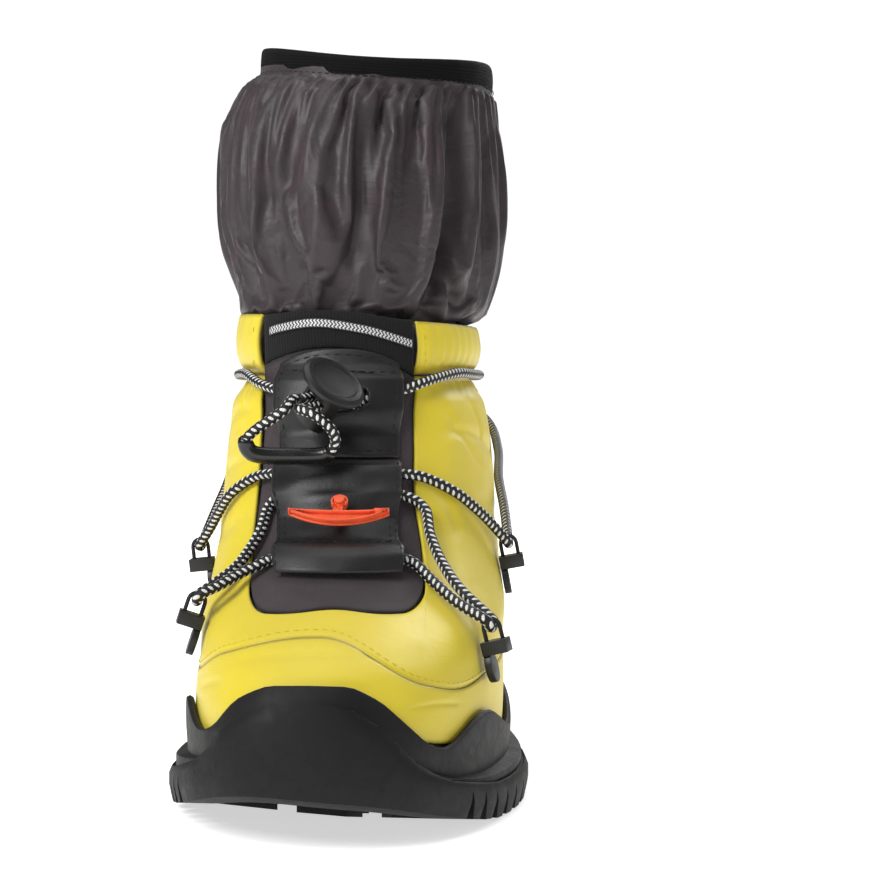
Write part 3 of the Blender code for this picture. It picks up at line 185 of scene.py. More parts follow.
def last(height, angle):
    """A point on the surface of the last."""
    height, angle = np.broadcast_arrays(np.asarray(height, float), np.asarray(angle, float))
    foot = 1 - smooth((height - 45 * MM) / (60 * MM))
    along, across = -powered(np.cos(angle)), powered(np.sin(angle))
    narrow = np.where(across > 0, 0.22, 0.27)
    across = across * (1 - foot * narrow * smooth((along + 0.45) / 0.9))
    front, back = FRONT(height), BACK(height)
    y = (front + back) / 2 + (back - front) / 2 * along
    shift = -5 * MM * foot * np.maximum(0.0, (-along - 0.1) / 0.9) ** 2
    x = LEAN(height) + shift + HALF(height) * across
    return np.stack([x, y, height + lift(y, height)], -1)


def outward(height, angle):
    around = last(height, angle + 0.03) - last(height, angle - 0.03)
    up = last(height + 0.6 * MM, angle) - last(height - 0.6 * MM, angle)
    normal = np.cross(around, up)
    return normal / np.linalg.norm(normal, axis=-1, keepdims=True)


def skin(height, angle, offset=0.0):
    """A point at an offset from the last along its outward normal."""
    return last(height, angle) + outward(height, angle) * np.asarray(offset)[..., None]


def angle_at(height, across):
    """The angle at which the front of a section is this far from the tongue's middle line."""
    height, across = np.broadcast_arrays(np.asarray(height, float), np.asarray(across, float))
    goal = across + LEAN(height) - 2 * MM * smooth((height - STRIP_FOOT) / (40 * MM))
    low, high = np.full(height.shape, -PI / 2), np.full(height.shape, PI / 2)
    for _ in range(30):
        middle = (low + high) / 2
        short = last(height, middle)[..., 0] < goal
        low, high = np.where(short, middle, low), np.where(short, high, middle)
    return (low + high) / 2


def front_skin(across, height, offset=0.0):
    return skin(height, angle_at(height, across), offset)


def cinch_dip(height):
    """How the fabric is drawn in under the drawcord round the ankle."""
    return -2.3 * MM * np.exp(-(((height - CINCH) / (2.1 * MM)) ** 2))


def padding(height, angle):
    """How far the padded shell swells out between its seams."""
    side = np.abs(angle)
    low = np.maximum(CUP_EDGE(side), np.where(side < SIDE_SEAM, TOE_SEAM(angle), SHELL_FOOT)) + 2 * MM
    top = CINCH - 2.6 * MM
    strip = angle_at(height, STRIP)
    return (
        2.2 * MM
        * smooth((height - low) / (14 * MM))
        * smooth((top - height) / (9 * MM))
        * (0.25 + 0.75 * smooth(np.abs(side - SIDE_SEAM) / 0.22))
        * smooth((side - strip) / 0.3)
    )


# ---------------------------------------------------------------- picking and finishing objects
def work_on(obj):
    if bpy.context.object and bpy.context.object.mode != "OBJECT":
        bpy.ops.object.mode_set(mode="OBJECT")
    bpy.ops.object.select_all(action="DESELECT")
    obj.select_set(True)
    bpy.context.view_layer.objects.active = obj


def apply_all(obj):
    work_on(obj)
    for modifier in list(obj.modifiers):
        bpy.ops.object.modifier_apply(modifier=modifier.name)


def paint(obj, finish):
    obj.data.materials.clear()
    obj.data.materials.append(finish_of(finish))


def dress(obj, finish, slot, body, *stands_for):
    """Gives a finished piece its material and its body and hides the nodes it stands for; the slot is not used."""
    paint(obj, finish)
    if body:
        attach(obj, body)
    if stands_for:
        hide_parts(*stands_for)
    return obj


def copy_of(node, name):
    """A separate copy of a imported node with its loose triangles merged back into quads."""
    work_on(frame["nodes"][node])
    bpy.ops.object.duplicate()
    obj = bpy.context.object
    obj.name = obj.data.name = name
    obj.parent = None
    for key in [key for key in obj.keys() if key.startswith("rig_")]:
        del obj[key]
    bpy.ops.object.mode_set(mode="EDIT")
    bpy.ops.mesh.select_all(action="SELECT")
    bpy.ops.mesh.customdata_custom_splitnormals_clear()
    bpy.ops.mesh.remove_doubles(threshold=2e-6)
    bpy.ops.mesh.tris_convert_to_quads(face_threshold=math.radians(35), shape_threshold=math.radians(50))
    bpy.ops.object.mode_set(mode="OBJECT")
    return obj


def bevelled(obj, width, segments=2, angle=35, smooth_angle=40):
    edge = obj.modifiers.new("edge", "BEVEL")
    edge.width, edge.segments = width, segments
    edge.limit_method, edge.angle_limit = "ANGLE", math.radians(angle)
    edge.harden_normals = False
    apply_all(obj)
    bpy.ops.object.shade_smooth_by_angle(angle=math.radians(smooth_angle))
    return obj


def subdivided(obj, levels):
    finer = obj.modifiers.new("finer", "SUBSURF")
    finer.levels = finer.render_levels = levels
    apply_all(obj)
    bpy.ops.object.shade_smooth()
    return obj


def mesh_object(name, points, faces, layer=None, uv=None):
    mesh = bpy.data.meshes.new(name)
    mesh.from_pydata(points, [], faces)
    if layer:
        mesh.uv_layers.new(name=layer).data.foreach_set("uv", uv.reshape(-1).astype(np.float32))
    mesh.shade_smooth()
    obj = bpy.data.objects.new(name, mesh)
    bpy.context.scene.collection.objects.link(obj)
    return obj


def sew(name, grid, wall, relief=None, closed=False, keep=None, roll=0.5 * MM, roll_width=1.6 * MM):
    """A fabric panel from a grid of points: UVs in metres, a hem attribute and a wall inwards."""
    rows, across = grid.shape[:2]
    around = np.concatenate([grid, grid[:, :1]], 1) if closed else grid
    wide = np.stack([running(row) for row in around])
    wide -= wide[:, -1:] / 2
    tall = np.stack([running(column) for column in around.swapaxes(0, 1)], 1)
    hem = np.minimum(tall, tall[-1:] - tall)
    if not closed:
        hem = np.minimum(hem, np.minimum(wide - wide[:, :1], wide[:, -1:] - wide))
    hem = hem[:, :across]
    padded = np.concatenate([grid[:, -1:], grid, grid[:, :1]], 1) if closed else grid
    along_u = np.gradient(padded, axis=1)
    along_v = np.gradient(padded, axis=0)
    if closed:
        along_u, along_v = along_u[:, 1:-1], along_v[:, 1:-1]
    normal = np.cross(along_u, along_v)
    normal /= np.maximum(np.linalg.norm(normal, axis=-1, keepdims=True), 1e-12)
    shift = -roll * np.clip(1 - hem / roll_width, 0, 1) ** 2
    if relief is not None:
        shift = shift + relief
    points = grid + normal * shift[..., None]
    columns = across if closed else across - 1
    r, c = (a.ravel() for a in np.meshgrid(np.arange(rows - 1), np.arange(columns), indexing="ij"))
    if keep is not None:
        kept = keep[r, c]
        r, c = r[kept], c[kept]
    d = (c + 1) % across
    faces = np.stack([r * across + c, r * across + d, (r + 1) * across + d, (r + 1) * across + c], -1)
    uv = np.stack([
        np.stack([wide[r, c], tall[r, c]], -1), np.stack([wide[r, c + 1], tall[r, c + 1]], -1),
        np.stack([wide[r + 1, c + 1], tall[r + 1, c + 1]], -1), np.stack([wide[r + 1, c], tall[r + 1, c]], -1),
    ], 1)
    used, faces = np.unique(faces, return_inverse=True)
    faces = faces.reshape(-1, 4)
    obj = mesh_object(name, points.reshape(-1, 3)[used].tolist(), faces.tolist(), "cloth", uv)
    edge = obj.data.attributes.new("hem", "FLOAT", "POINT")
    edge.data.foreach_set("value", hem.ravel()[used].astype(np.float32))
    if wall:
        thicken(obj, wall)
    return obj


def thicken(obj, wall):
    thick = obj.modifiers.new("wall", "SOLIDIFY")
    thick.thickness, thick.offset, thick.use_even_offset = wall, -1, False
    apply_all(obj)


def panel(name, grid, wall, relief, finish, slot, node, **cut):
    """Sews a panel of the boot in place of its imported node."""
    return dress(sew(name, grid, wall, relief, **cut), finish, slot, "boot", node)


def fitting(node, name, finish, slot, body, *bevel):
    """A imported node's own shape with its edges rounded."""
    return dress(bevelled(copy_of(node, name), *bevel), finish, slot, body, node)


def smooth_route(points, step):
    """Points every step along a Catmull-Rom curve through a route's own points, given in mm."""
    points = [np.array(p, float) * MM for p in points]
    ends = [points[0] * 2 - points[1], *points, points[-1] * 2 - points[-2]]
    route = []
    for a, b, c, d in zip(ends, ends[1:], ends[2:], ends[3:]):
        count = max(1, round(float(np.linalg.norm(c - b)) / step))
        for i in range(count):
            t = i / count
            route.append(0.5 * (2 * b + (c - a) * t + (2 * a - 5 * b + 4 * c - d) * t**2
                                + (3 * b - a - 3 * c + d) * t**3))
    route.append(points[-1])
    return np.array(route)


def rope(name, route, radius, sides=14, closed=False, bulge=None):
    """A round tube along a route, its UVs running once round it and in metres along it."""
    count = len(route)
    tangent = np.gradient(route, axis=0) if not closed else np.roll(route, -1, 0) - np.roll(route, 1, 0)
    tangent /= np.linalg.norm(tangent, axis=1, keepdims=True)
    side = np.cross(tangent[0], [0.0, 0.0, 1.0])
    if np.linalg.norm(side) < 1e-3:
        side = np.cross(tangent[0], [0.0, 1.0, 0.0])
    frames = []
    for t in tangent:
        side = side - t * (side @ t)
        side /= np.linalg.norm(side)
        frames.append(side.copy())
    frames = np.array(frames)
    other = np.cross(tangent, frames)
    length = running(np.concatenate([route, route[:1]]) if closed else route)
    turns = 2 * PI * np.arange(sides) / sides
    thick = np.full(count, radius) if bulge is None else radius * bulge(length[:count] / length[-1])
    if closed:
        last_side = frames[-1] - tangent[0] * (frames[-1] @ tangent[0])
        twist = math.atan2(last_side @ other[0], last_side @ frames[0])
        spin = -twist * np.arange(count) / count
    else:
        spin = np.zeros(count)
    grid = route[:, None] + thick[:, None, None] * (
        frames[:, None] * np.cos(turns + spin[:, None])[..., None]
        + other[:, None] * np.sin(turns + spin[:, None])[..., None])
    rings = count if closed else count - 1
    r, s = (a.ravel() for a in np.meshgrid(np.arange(rings), np.arange(sides), indexing="ij"))
    r2, s2 = (r + 1) % count, (s + 1) % sides
    faces = np.stack([r * sides + s, r * sides + s2, r2 * sides + s2, r2 * sides + s], -1).tolist()
    uv = np.stack([
        np.stack([s / sides, length[r]], -1), np.stack([(s + 1) / sides, length[r]], -1),
        np.stack([(s + 1) / sides, length[r + 1]], -1), np.stack([s / sides, length[r + 1]], -1),
    ], 1).reshape(-1, 2)
    extra = []
    if not closed:
        extra = [list(range(sides))[::-1], [(count - 1) * sides + i for i in range(sides)]]
        uv = np.concatenate([uv, np.zeros((2 * sides, 2))])
    return mesh_object(name, grid.reshape(-1, 3).tolist(), faces + extra, "braid", uv)


def stitches(name, lines, length=2.3 * MM, gap=1.1 * MM, radius=0.24 * MM):
    """Running stitches along lines of (points, outward normals), each a thread pulled in at its ends."""
    rings, sides = 5, 6
    points, faces = [], []
    for path, normals in lines:
        path, normals = np.asarray(path), np.asarray(normals)
        marks = running(path)
        count = max(1, int((marks[-1] + gap) // (length + gap)))
        pitch = (marks[-1] + gap) / count
        for i in range(count):
            at = np.linspace(i * pitch, i * pitch + pitch - gap, rings)
            spots = np.stack([np.interp(at, marks, path[:, k]) for k in range(3)], -1)
            up = np.stack([np.interp(at, marks, normals[:, k]) for k in range(3)], -1)
            ahead = np.gradient(spots, axis=0)
            ahead /= np.linalg.norm(ahead, axis=1, keepdims=True)
            up -= ahead * (up * ahead).sum(1, keepdims=True)
            up /= np.linalg.norm(up, axis=1, keepdims=True)
            beside = np.cross(ahead, up)
            swell = np.sin(PI * (np.arange(rings) + 0.35) / (rings - 0.3))
            spots = spots + up * (radius * (1.5 * swell - 0.9))[:, None]
            first = len(points)
            for j in range(rings):
                for k in range(sides):
                    turn = 2 * PI * k / sides
                    reach = radius * (0.35 + 0.65 * swell[j])
                    way = beside[j] * math.cos(turn) + up[j] * math.sin(turn)
                    points.append((spots[j] + reach * way).tolist())
            for j in range(rings - 1):
                for k in range(sides):
                    m = (k + 1) % sides
                    a = first + j * sides
                    faces.append([a + k, a + m, a + sides + m, a + sides + k])
            faces.append([first + k for k in range(sides)][::-1])
            faces.append([first + (rings - 1) * sides + k for k in range(sides)])
    obj = mesh_object(name, points, faces)
    work_on(obj)
    bpy.ops.object.mode_set(mode="EDIT")
    bpy.ops.mesh.select_all(action="SELECT")
    bpy.ops.mesh.normals_make_consistent(inside=False)
    bpy.ops.object.mode_set(mode="OBJECT")
    return obj


# ---------------------------------------------------------------- materials
class Recipe:
    """A node material, from its base colour and roughness to its relief."""

    def __init__(self, name, colour, roughness, **sockets):
        self.material = bpy.data.materials.new(name)
        self.material.use_nodes = True
        self.tree = self.material.node_tree
        self.shader = self.tree.nodes["Principled BSDF"]
        self.shader.inputs["Base Color"].default_value = (*colour[:3], 1.0)
        self.shader.inputs["Roughness"].default_value = roughness
        for key, value in sockets.items():
            self.shader.inputs[key.replace("_", " ").title().replace("Ior", "IOR")].default_value = value
        self.relief = None

    def feed(self, socket, value):
        if isinstance(value, bpy.types.NodeSocket):
            self.tree.links.new(value, socket)
        else:
            socket.default_value = value

    def node(self, kind, inputs=(), **settings):
        made = self.tree.nodes.new("ShaderNode" + kind)
        for key, value in settings.items():
            setattr(made, key, value)
        for key, value in dict(inputs).items():
            self.feed(made.inputs[key], value)
        return made

    def place(self, kind="Object"):
        return self.node("TexCoord").outputs[kind]

    def axes(self, place):
        return self.node("SeparateXYZ", {0: place}).outputs

    def maths(self, operation, a, b=0.0, c=0.0):
        return self.node("Math", {0: a, 1: b, 2: c}, operation=operation).outputs[0]

    def attribute(self, name):
        return self.node("Attribute", attribute_name=name).outputs["Fac"]

    def hem(self, low, high):
        """From 0 near a panel's edge to 1 inside it, between two distances in mm."""
        return self.spread(self.attribute("hem"), low * MM, high * MM)

    def noise(self, place, scale, detail=2.0, rough=0.5, distortion=0.0):
        return self.node("TexNoise", {
            "Vector": place, "Scale": scale, "Detail": detail, "Roughness": rough, "Distortion": distortion,
        }).outputs["Fac"]

    def cells(self, place, scale, feature="F1"):
        return self.node("TexVoronoi", {"Vector": place, "Scale": scale}, feature=feature).outputs["Distance"]

    def times(self, first, second):
        return self.maths("MULTIPLY", first, second)

    def tones(self, share, colour, dark, light):
        """A colour that varies from a darker to a lighter shade of itself."""
        return self.blend(share, shade(colour, dark), shade(colour, light))

    def mottle(self, value, colour, dark, light, low=0.3, high=0.7):
        return self.tones(self.spread(value, low, high), colour, dark, light)

    def spread(self, value, low, high, to_low=0.0, to_high=1.0):
        return self.node("MapRange", {0: value, 1: low, 2: high, 3: to_low, 4: to_high}).outputs[0]

    def wave(self, axis, pitch, phase=0.0):
        """A sine from 0 to 1 along one axis, given in metres."""
        turned = self.maths("MULTIPLY_ADD", axis, 2 * PI / pitch, phase)
        return self.maths("MULTIPLY_ADD", self.maths("SINE", turned), 0.5, 0.5)

    def blend(self, share, first, second):
        made = self.node("Mix", {0: share}, data_type="RGBA")
        for index, value in ((6, first), (7, second)):
            self.feed(made.inputs[index], value if isinstance(value, bpy.types.NodeSocket) else (*value[:3], 1.0))
        return made.outputs[2]

    def bumps(self, *rows):
        """Adds relief from rows of height, depth in mm and strength."""
        for height, depth, strength in rows:
            made = self.node("Bump", {"Height": height, "Distance": depth * MM, "Strength": strength})
            if self.relief is not None:
                self.tree.links.new(self.relief, made.inputs["Normal"])
            self.relief = made.outputs[0]

    def finish(self, colour=None, roughness=None):
        for value, key in ((colour, "Base Color"), (roughness, "Roughness"), (self.relief, "Normal")):
            if value is not None:
                self.tree.links.new(value, self.shader.inputs[key])
        return self.material


def shade(colour, factor):
    return tuple(min(1.0, channel * factor) for channel in tuple(colour)[:3])


FINISHES = {}


def finish_of(name):
    """The material of that name, made once with the palette's colours."""
    if name not in FINISHES:
        FINISHES[name] = MAKERS[name](bpy.context.scene.boot_palette)
    return FINISHES[name]


def coated_nylon(palette):
    r = Recipe("yellow coated nylon", palette.yellow, 0.46, sheen_weight=0.12, sheen_roughness=0.5)
    uv, place = r.place("UV"), r.place()
    u, v, _ = r.axes(uv)
    weave = r.times(r.wave(u, 0.62 * MM), r.wave(v, 0.62 * MM))
    cloud = r.noise(place, 16, 3, 0.55)
    crinkle = r.noise(uv, 130, 3, 0.6, 0.6)
    colour = r.mottle(cloud, palette.yellow, 0.9, 1, 0.3, 0.75)
    colour = r.blend(r.hem(0.15, 1.5), shade(palette.yellow, 0.62), colour)
    r.bumps((r.noise(uv, 38, 2, 0.5), 1.3, 0.3), (crinkle, 0.30, 0.4), (weave, 0.05, 0.5))
    return r.finish(colour, r.spread(crinkle, 0.2, 0.8, 0.40, 0.54))


def soft_shell(palette):
    r = Recipe("mauve soft shell", palette.mauve, 0.8, sheen_weight=0.08, sheen_roughness=0.45,
               specular_ior_level=0.3)
    uv = r.place("UV")
    u, v, _ = r.axes(uv)
    knit = r.times(r.wave(u, 0.9 * MM), r.wave(v, 1.1 * MM))
    fuzz = r.noise(uv, 900, 2, 0.6)
    cloud = r.noise(uv, 45, 3, 0.55)
    colour = r.mottle(cloud, palette.mauve, 0.8, 1.18)
    colour = r.blend(r.spread(fuzz, 0.55, 0.9, 0, 0.5), colour, shade(palette.mauve, 1.9))
    colour = r.blend(r.hem(0.2, 2.2), shade(palette.mauve, 0.3), colour)
    r.bumps((cloud, 0.8, 0.35), (knit, 0.12, 0.6), (fuzz, 0.05, 0.5))
    return r.finish(colour, r.spread(fuzz, 0.2, 0.8, 0.7, 0.86))


def rib_knit(palette):
    r = Recipe("black rib knit", palette.black, 0.88, sheen_weight=0.05, sheen_roughness=0.5, specular_ior_level=0.25)
    uv = r.place("UV")
    u, v, _ = r.axes(uv)
    rib = r.wave(u, 1.25 * MM)
    loops = r.wave(v, 0.8 * MM)
    fuzz = r.noise(uv, 1100, 2, 0.6)
    colour = r.tones(rib, palette.black, 0.8, 1.2)
    colour = r.blend(r.spread(fuzz, 0.55, 0.9, 0, 0.45), colour, shade(palette.black, 3.0))
    r.bumps((rib, 0.14, 0.5), (r.times(rib, loops), 0.10, 0.5), (fuzz, 0.05, 0.5))
    return r.finish(colour)


def herringbone(palette):
    r = Recipe("silver herringbone tape", palette.silver, 0.42, metallic=0.15)
    u, v, _ = r.axes(r.place("UV"))
    zig = r.maths("PINGPONG", v, 0.85 * MM)
    stripe = r.wave(r.maths("ADD", u, zig), 1.35 * MM)
    mask = r.spread(stripe, 0.35, 0.6)
    mask = r.times(mask, r.hem(0.3, 0.6))
    colour = r.tones(mask, palette.silver, 0.05, 1.5)
    r.bumps((mask, 0.1, 0.7))
    return r.finish(colour, r.spread(mask, 0, 1, 0.7, 0.35))


def grained_leather(palette):
    r = Recipe("black synthetic leather", palette.leather, 0.46, specular_ior_level=0.42)
    uv = r.place("UV")
    grain = r.cells(uv, 1500)
    cloud = r.noise(uv, 60, 3, 0.55)
    pores = r.noise(uv, 700, 2, 0.6)
    colour = r.mottle(cloud, palette.leather, 0.8, 1.3)
    colour = r.blend(r.hem(0.1, 0.9), shade(palette.leather, 2.1), colour)
    r.bumps((cloud, 0.7, 0.35), (grain, 0.07, 0.55), (pores, 0.05, 0.4))
    return r.finish(colour, r.spread(cloud, 0.25, 0.75, 0.36, 0.52))


def grained_rubber(name, tint, rough, ridge=False):
    def make(palette):
        r = Recipe(name, shade(palette.rubber, tint), rough, specular_ior_level=0.26)
        place = r.place()
        grain = r.noise(place, 1500, 2, 0.6)
        cloud = r.noise(place, 22, 4, 0.6)
        scuff = r.noise(place, 140, 4, 0.7, 1.2)
        _, _, height = r.axes(place)
        dust = r.times(r.spread(height, 0, 16 * MM, 1, 0), r.spread(scuff, 0.45, 0.75))
        colour = r.mottle(cloud, palette.rubber, tint * 0.86, tint * 1.16)
        colour = r.blend(r.times(dust, 0.35), colour, shade(palette.rubber, tint * 2.6))
        r.bumps((scuff, 0.25, 0.22), (grain, 0.06, 0.6))
        # A crescent ridge round the toe: a bump along the arc, and a painted highlight along the same arc
        if ridge:
            side, ahead, _ = r.axes(place)
            beside, above = r.maths("ADD", side, 6 * MM), r.maths("SUBTRACT", height, 22 * MM)
            square = r.maths("ADD", r.times(beside, beside), r.times(above, above))
            reach = r.maths("SQRT", square)
            line = r.spread(r.maths("ABSOLUTE", r.maths("SUBTRACT", reach, 17 * MM)), 0.1 * MM, 1.1 * MM, 1, 0)
            limits = ((r.maths("ABSOLUTE", beside), 12, 8), (ahead, -100, -110), (above, 8, 11))
            for value, low, high in limits:
                line = r.times(line, r.spread(value, low * MM, high * MM))
            r.bumps((line, 1.6, 1.0))
            # Painted highlight: the colour is lighter along the crescent ridge line round the toe
            colour = r.blend(r.times(line, 0.6), colour, shade(palette.rubber, 6))
        return r.finish(colour, r.spread(scuff, 0.3, 0.8, rough - 0.06, rough + 0.12))

    return make


def moulded_plastic(name, pick, rough, grain=900):
    def make(palette):
        base = getattr(palette, pick)
        r = Recipe(name, base, rough, specular_ior_level=0.5)
        place = r.place()
        fine, cloud = r.noise(place, grain, 2, 0.6), r.noise(place, 120, 3, 0.6)
        colour = r.mottle(cloud, base, 0.85, 1.15)
        r.bumps((cloud, 0.15, 0.25), (fine, 0.035, 0.5))
        return r.finish(colour, r.spread(cloud, 0.3, 0.7, rough - 0.05, rough + 0.08))

    return make


def flecked_braid(palette):
    """Black braid with pale flecks in four columns that lean to and fro, as in a herringbone."""
    laces = bpy.context.scene.boot_laces
    r = Recipe("flecked elastic braid", palette.black, 0.62, specular_ior_level=0.35)
    u, v, _ = r.axes(r.place("UV"))
    column = r.times(u, 4.0)
    odd = r.maths("MODULO", r.maths("FLOOR", column), 2.0)
    across = r.times(r.maths("SUBTRACT", r.maths("FRACT", column), 0.5), 2.83)
    row = r.maths("MULTIPLY_ADD", odd, 0.5, r.maths("DIVIDE", v, laces.fleck_pitch))
    along = r.times(r.maths("SUBTRACT", r.maths("FRACT", row), 0.5), laces.fleck_pitch / MM)
    lean = r.maths("MULTIPLY_ADD", odd, -2.0, 1.0)
    tilted = r.maths("SUBTRACT", along, r.times(r.times(across, 0.42), lean))
    oval = r.maths("ADD", r.maths("POWER", r.maths("DIVIDE", across, 1.08), 2.0),
                   r.maths("POWER", r.maths("DIVIDE", tilted, 0.56), 2.0))
    fleck = r.spread(oval, 0.72, 1.12, 1, 0)
    strands = r.maths("MULTIPLY_ADD", u, 2 * PI * 12, r.times(v, 2 * PI / (1.9 * MM)))
    strands = r.maths("MULTIPLY_ADD", r.maths("SINE", strands), 0.5, 0.5)
    dome = r.spread(oval, 0.0, 1.2, 1, 0)
    colour = r.tones(strands, palette.black, 0.6, 1.7)
    colour = r.blend(fleck, colour, r.tones(strands, palette.fleck, 0.72, 1))
    r.bumps((dome, 0.32, 0.8), (strands, 0.12, 0.6))
    return r.finish(colour, r.spread(fleck, 0, 1, 0.55, 0.72))


def gaiter_nylon(palette):
    r = Recipe("charcoal gaiter nylon", palette.gaiter, 0.52, sheen_weight=0.08, sheen_roughness=0.35,
               specular_ior_level=0.4)
    uv, place = r.place("UV"), r.place()
    u, v, _ = r.axes(uv)
    weave = r.times(r.wave(u, 0.5 * MM), r.wave(v, 0.5 * MM))
    cloud = r.noise(place, 14, 3, 0.55)
    crush = r.noise(uv, 42, 4, 0.55, 1.4)
    fine = r.noise(uv, 160, 3, 0.6, 0.8)
    colour = r.mottle(cloud, palette.gaiter, 0.86, 1, 0.35, 0.65)
    colour = r.blend(r.spread(crush, 0.4, 0.7, 0, 0.75), colour, palette.gaiter_cast)
    r.bumps((crush, 2.4, 0.45), (fine, 0.3, 0.35), (weave, 0.04, 0.5))
    return r.finish(colour, r.spread(fine, 0.25, 0.75, 0.42, 0.56))


def woven_elastic(palette):
    r = Recipe("black woven elastic", palette.black, 0.85, specular_ior_level=0.12)
    u, v, _ = r.axes(r.place("UV"))
    cord, pick = r.wave(v, 1.15 * MM), r.wave(u, 0.7 * MM)
    edge = r.hem(1.4, 1.9)
    colour = r.tones(cord, palette.black, 0.35, 0.7)
    colour = r.blend(edge, shade(palette.black, 0.9), colour)
    r.bumps((r.times(cord, edge), 0.22, 0.6), (pick, 0.10, 0.5))
    return r.finish(colour)


def webbing(palette):
    r = Recipe("black webbing", palette.black, 0.74, sheen_weight=0.2)
    u, v, _ = r.axes(r.place("UV"))
    twill = r.wave(r.maths("ADD", r.maths("PINGPONG", u, 4 * MM), v), 1.1 * MM)
    colour = r.tones(twill, palette.black, 0.7, 2.0)
    r.bumps((twill, 0.2, 0.7), (r.noise(r.place("UV"), 1400), 0.05, 0.5))
    return r.finish(colour)


def guide_cord(palette):
    r = Recipe("black guide cord", palette.black, 0.7)
    ridges = r.noise(r.place(), 1600, 2, 0.6)
    r.bumps((ridges, 0.12, 0.7))
    return r.finish(r.tones(ridges, palette.black, 0.7, 2.2))


def fleece(palette):
    r = Recipe("charcoal fleece", palette.fleece, 0.95, sheen_weight=0.5, sheen_roughness=0.6)
    place = r.place()
    pile, tufts = r.noise(place, 800, 3, 0.7), r.noise(place, 190, 3, 0.6)
    colour = r.mottle(tufts, palette.fleece, 0.6, 1.5)
    r.bumps((tufts, 0.8, 0.5), (pile, 0.25, 0.7))
    return r.finish(colour)


def closed_foam(palette):
    r = Recipe("grey foam", palette.foam, 0.9)
    place = r.place()
    cells = r.cells(place, 900)
    colour = r.mottle(cells, palette.foam, 0.75, 1, 0.1, 0.6)
    r.bumps((cells, 0.2, 0.6))
    return r.finish(colour)


def plain_steel(palette):
    r = Recipe("plain steel", palette.steel, 0.34, metallic=1.0)
    place = r.place()
    brushed = r.noise(r.node("Mapping", {"Vector": place, "Scale": (1, 14, 1)}).outputs[0], 260, 3, 0.6)
    colour = r.tones(brushed, palette.steel, 0.82, 1.1)
    r.bumps((brushed, 0.03, 0.4))
    return r.finish(colour, r.spread(brushed, 0.2, 0.8, 0.28, 0.44))


def sewing_thread(pick, factor):
    def make(palette):
        base = shade(getattr(palette, pick), factor)
        r = Recipe(f"{pick} thread", base, 0.7)
        twist = r.noise(r.place(), 3200, 2, 0.6)
        r.bumps((twist, 0.08, 0.8))
        return r.finish(r.tones(twist, base, 0.6, 1.3))

    return make


def pale_floor(palette):
    r = Recipe("pale floor", (0.86, 0.86, 0.86), 0.7)
    # Painted glow: the floor emits light, weakest near the boot so that its shadow shows and strongest far out so
    # that it fades into the white backdrop
    r.shader.inputs["Emission Color"].default_value = (1, 1, 1, 1)
    place = r.place()
    distance = r.node("VectorMath", {0: place}, operation="LENGTH").outputs["Value"]
    glow = r.spread(distance, 0.22, 0.8, 0.60, 1.1)
    r.tree.links.new(glow, r.shader.inputs["Emission Strength"])
    cloud = r.noise(place, 6, 2, 0.5)
    return r.finish(r.blend(cloud, (0.85, 0.85, 0.85), (0.87, 0.87, 0.87)))


MAKERS = {
    "nylon": coated_nylon, "soft_shell": soft_shell, "knit": rib_knit, "tape": herringbone,
    "leather": grained_leather, "sole": grained_rubber("black tread rubber", 1.0, 0.62),
    "cup": grained_rubber("black toe rubber", 1.12, 0.58, True),
    "plastic": moulded_plastic("black moulded nylon", "plastic", 0.42),
    "gloss": moulded_plastic("glossy black tube", "plastic", 0.24, 300),
    "orange": moulded_plastic("orange soft plastic", "orange", 0.48, 700),
    "braid": flecked_braid, "gaiter": gaiter_nylon, "elastic": woven_elastic, "webbing": webbing,
    "guide_cord": guide_cord, "fleece": fleece, "foam": closed_foam, "steel": plain_steel, "floor": pale_floor,
    "black_thread": sewing_thread("black", 0.7), "yellow_thread": sewing_thread("yellow", 0.78),
}


# ---------------------------------------------------------------- settings
def colour_setting(name, description, default):
    return bpy.props.FloatVectorProperty(
        name=name, description=description, default=default, size=3, min=0, max=1, subtype="COLOR")


class BootPalette(bpy.types.PropertyGroup):
    """Colours of the boot's materials."""

    yellow: colour_setting("Yellow", "Coated nylon of the shell", (0.72, 0.575, 0.022))
    mauve: colour_setting("Mauve", "Soft shell of the tongue", (0.043, 0.033, 0.038))
    black: colour_setting("Black", "Knit, webbing and braid", (0.006, 0.0055, 0.0065))
    leather: colour_setting("Leather", "Synthetic leather of the patches", (0.0088, 0.0080, 0.0082))
    rubber: colour_setting("Rubber", "Cup and outsole", (0.0058, 0.0050, 0.0056))
    plastic: colour_setting("Plastic", "Cord lock, tube and lace guides", (0.006, 0.006, 0.0065))
    orange: colour_setting("Orange", "Pull tab", (0.78, 0.100, 0.030))
    silver: colour_setting("Silver", "Herringbone tape", (0.42, 0.42, 0.43))
    fleck: colour_setting("Fleck", "Pale threads of the laces", (0.82, 0.82, 0.80))
    gaiter: colour_setting("Gaiter", "Nylon of the gaiter sleeve", (0.031, 0.0245, 0.0265))
    gaiter_cast: colour_setting("Gaiter cast", "Warmer tone in the sleeve's crushed areas", (0.045, 0.028, 0.033))
    fleece: colour_setting("Fleece", "Lining", (0.03, 0.03, 0.034))
    foam: colour_setting("Foam", "Midsole core and insole board", (0.33, 0.32, 0.31))
    steel: colour_setting("Steel", "Shank, spring and rivet", (0.52, 0.52, 0.54))


class BootUpper(bpy.types.PropertyGroup):
    """Relief of the fabric panels."""

    crease_depth: bpy.props.FloatProperty(
        name="Crease depth", description="How deep the shell's creases are",
        default=1.0, min=0, max=2, subtype="FACTOR")
    gather_depth: bpy.props.FloatProperty(
        name="Gather depth", description="How deep the gathers at the ankle cord are",
        default=1.25 * MM, min=0, max=2 * MM, unit="LENGTH")
    stitch_length: bpy.props.FloatProperty(
        name="Stitch length", description="Length of one running stitch",
        default=2.3 * MM, min=1 * MM, max=5 * MM, unit="LENGTH")


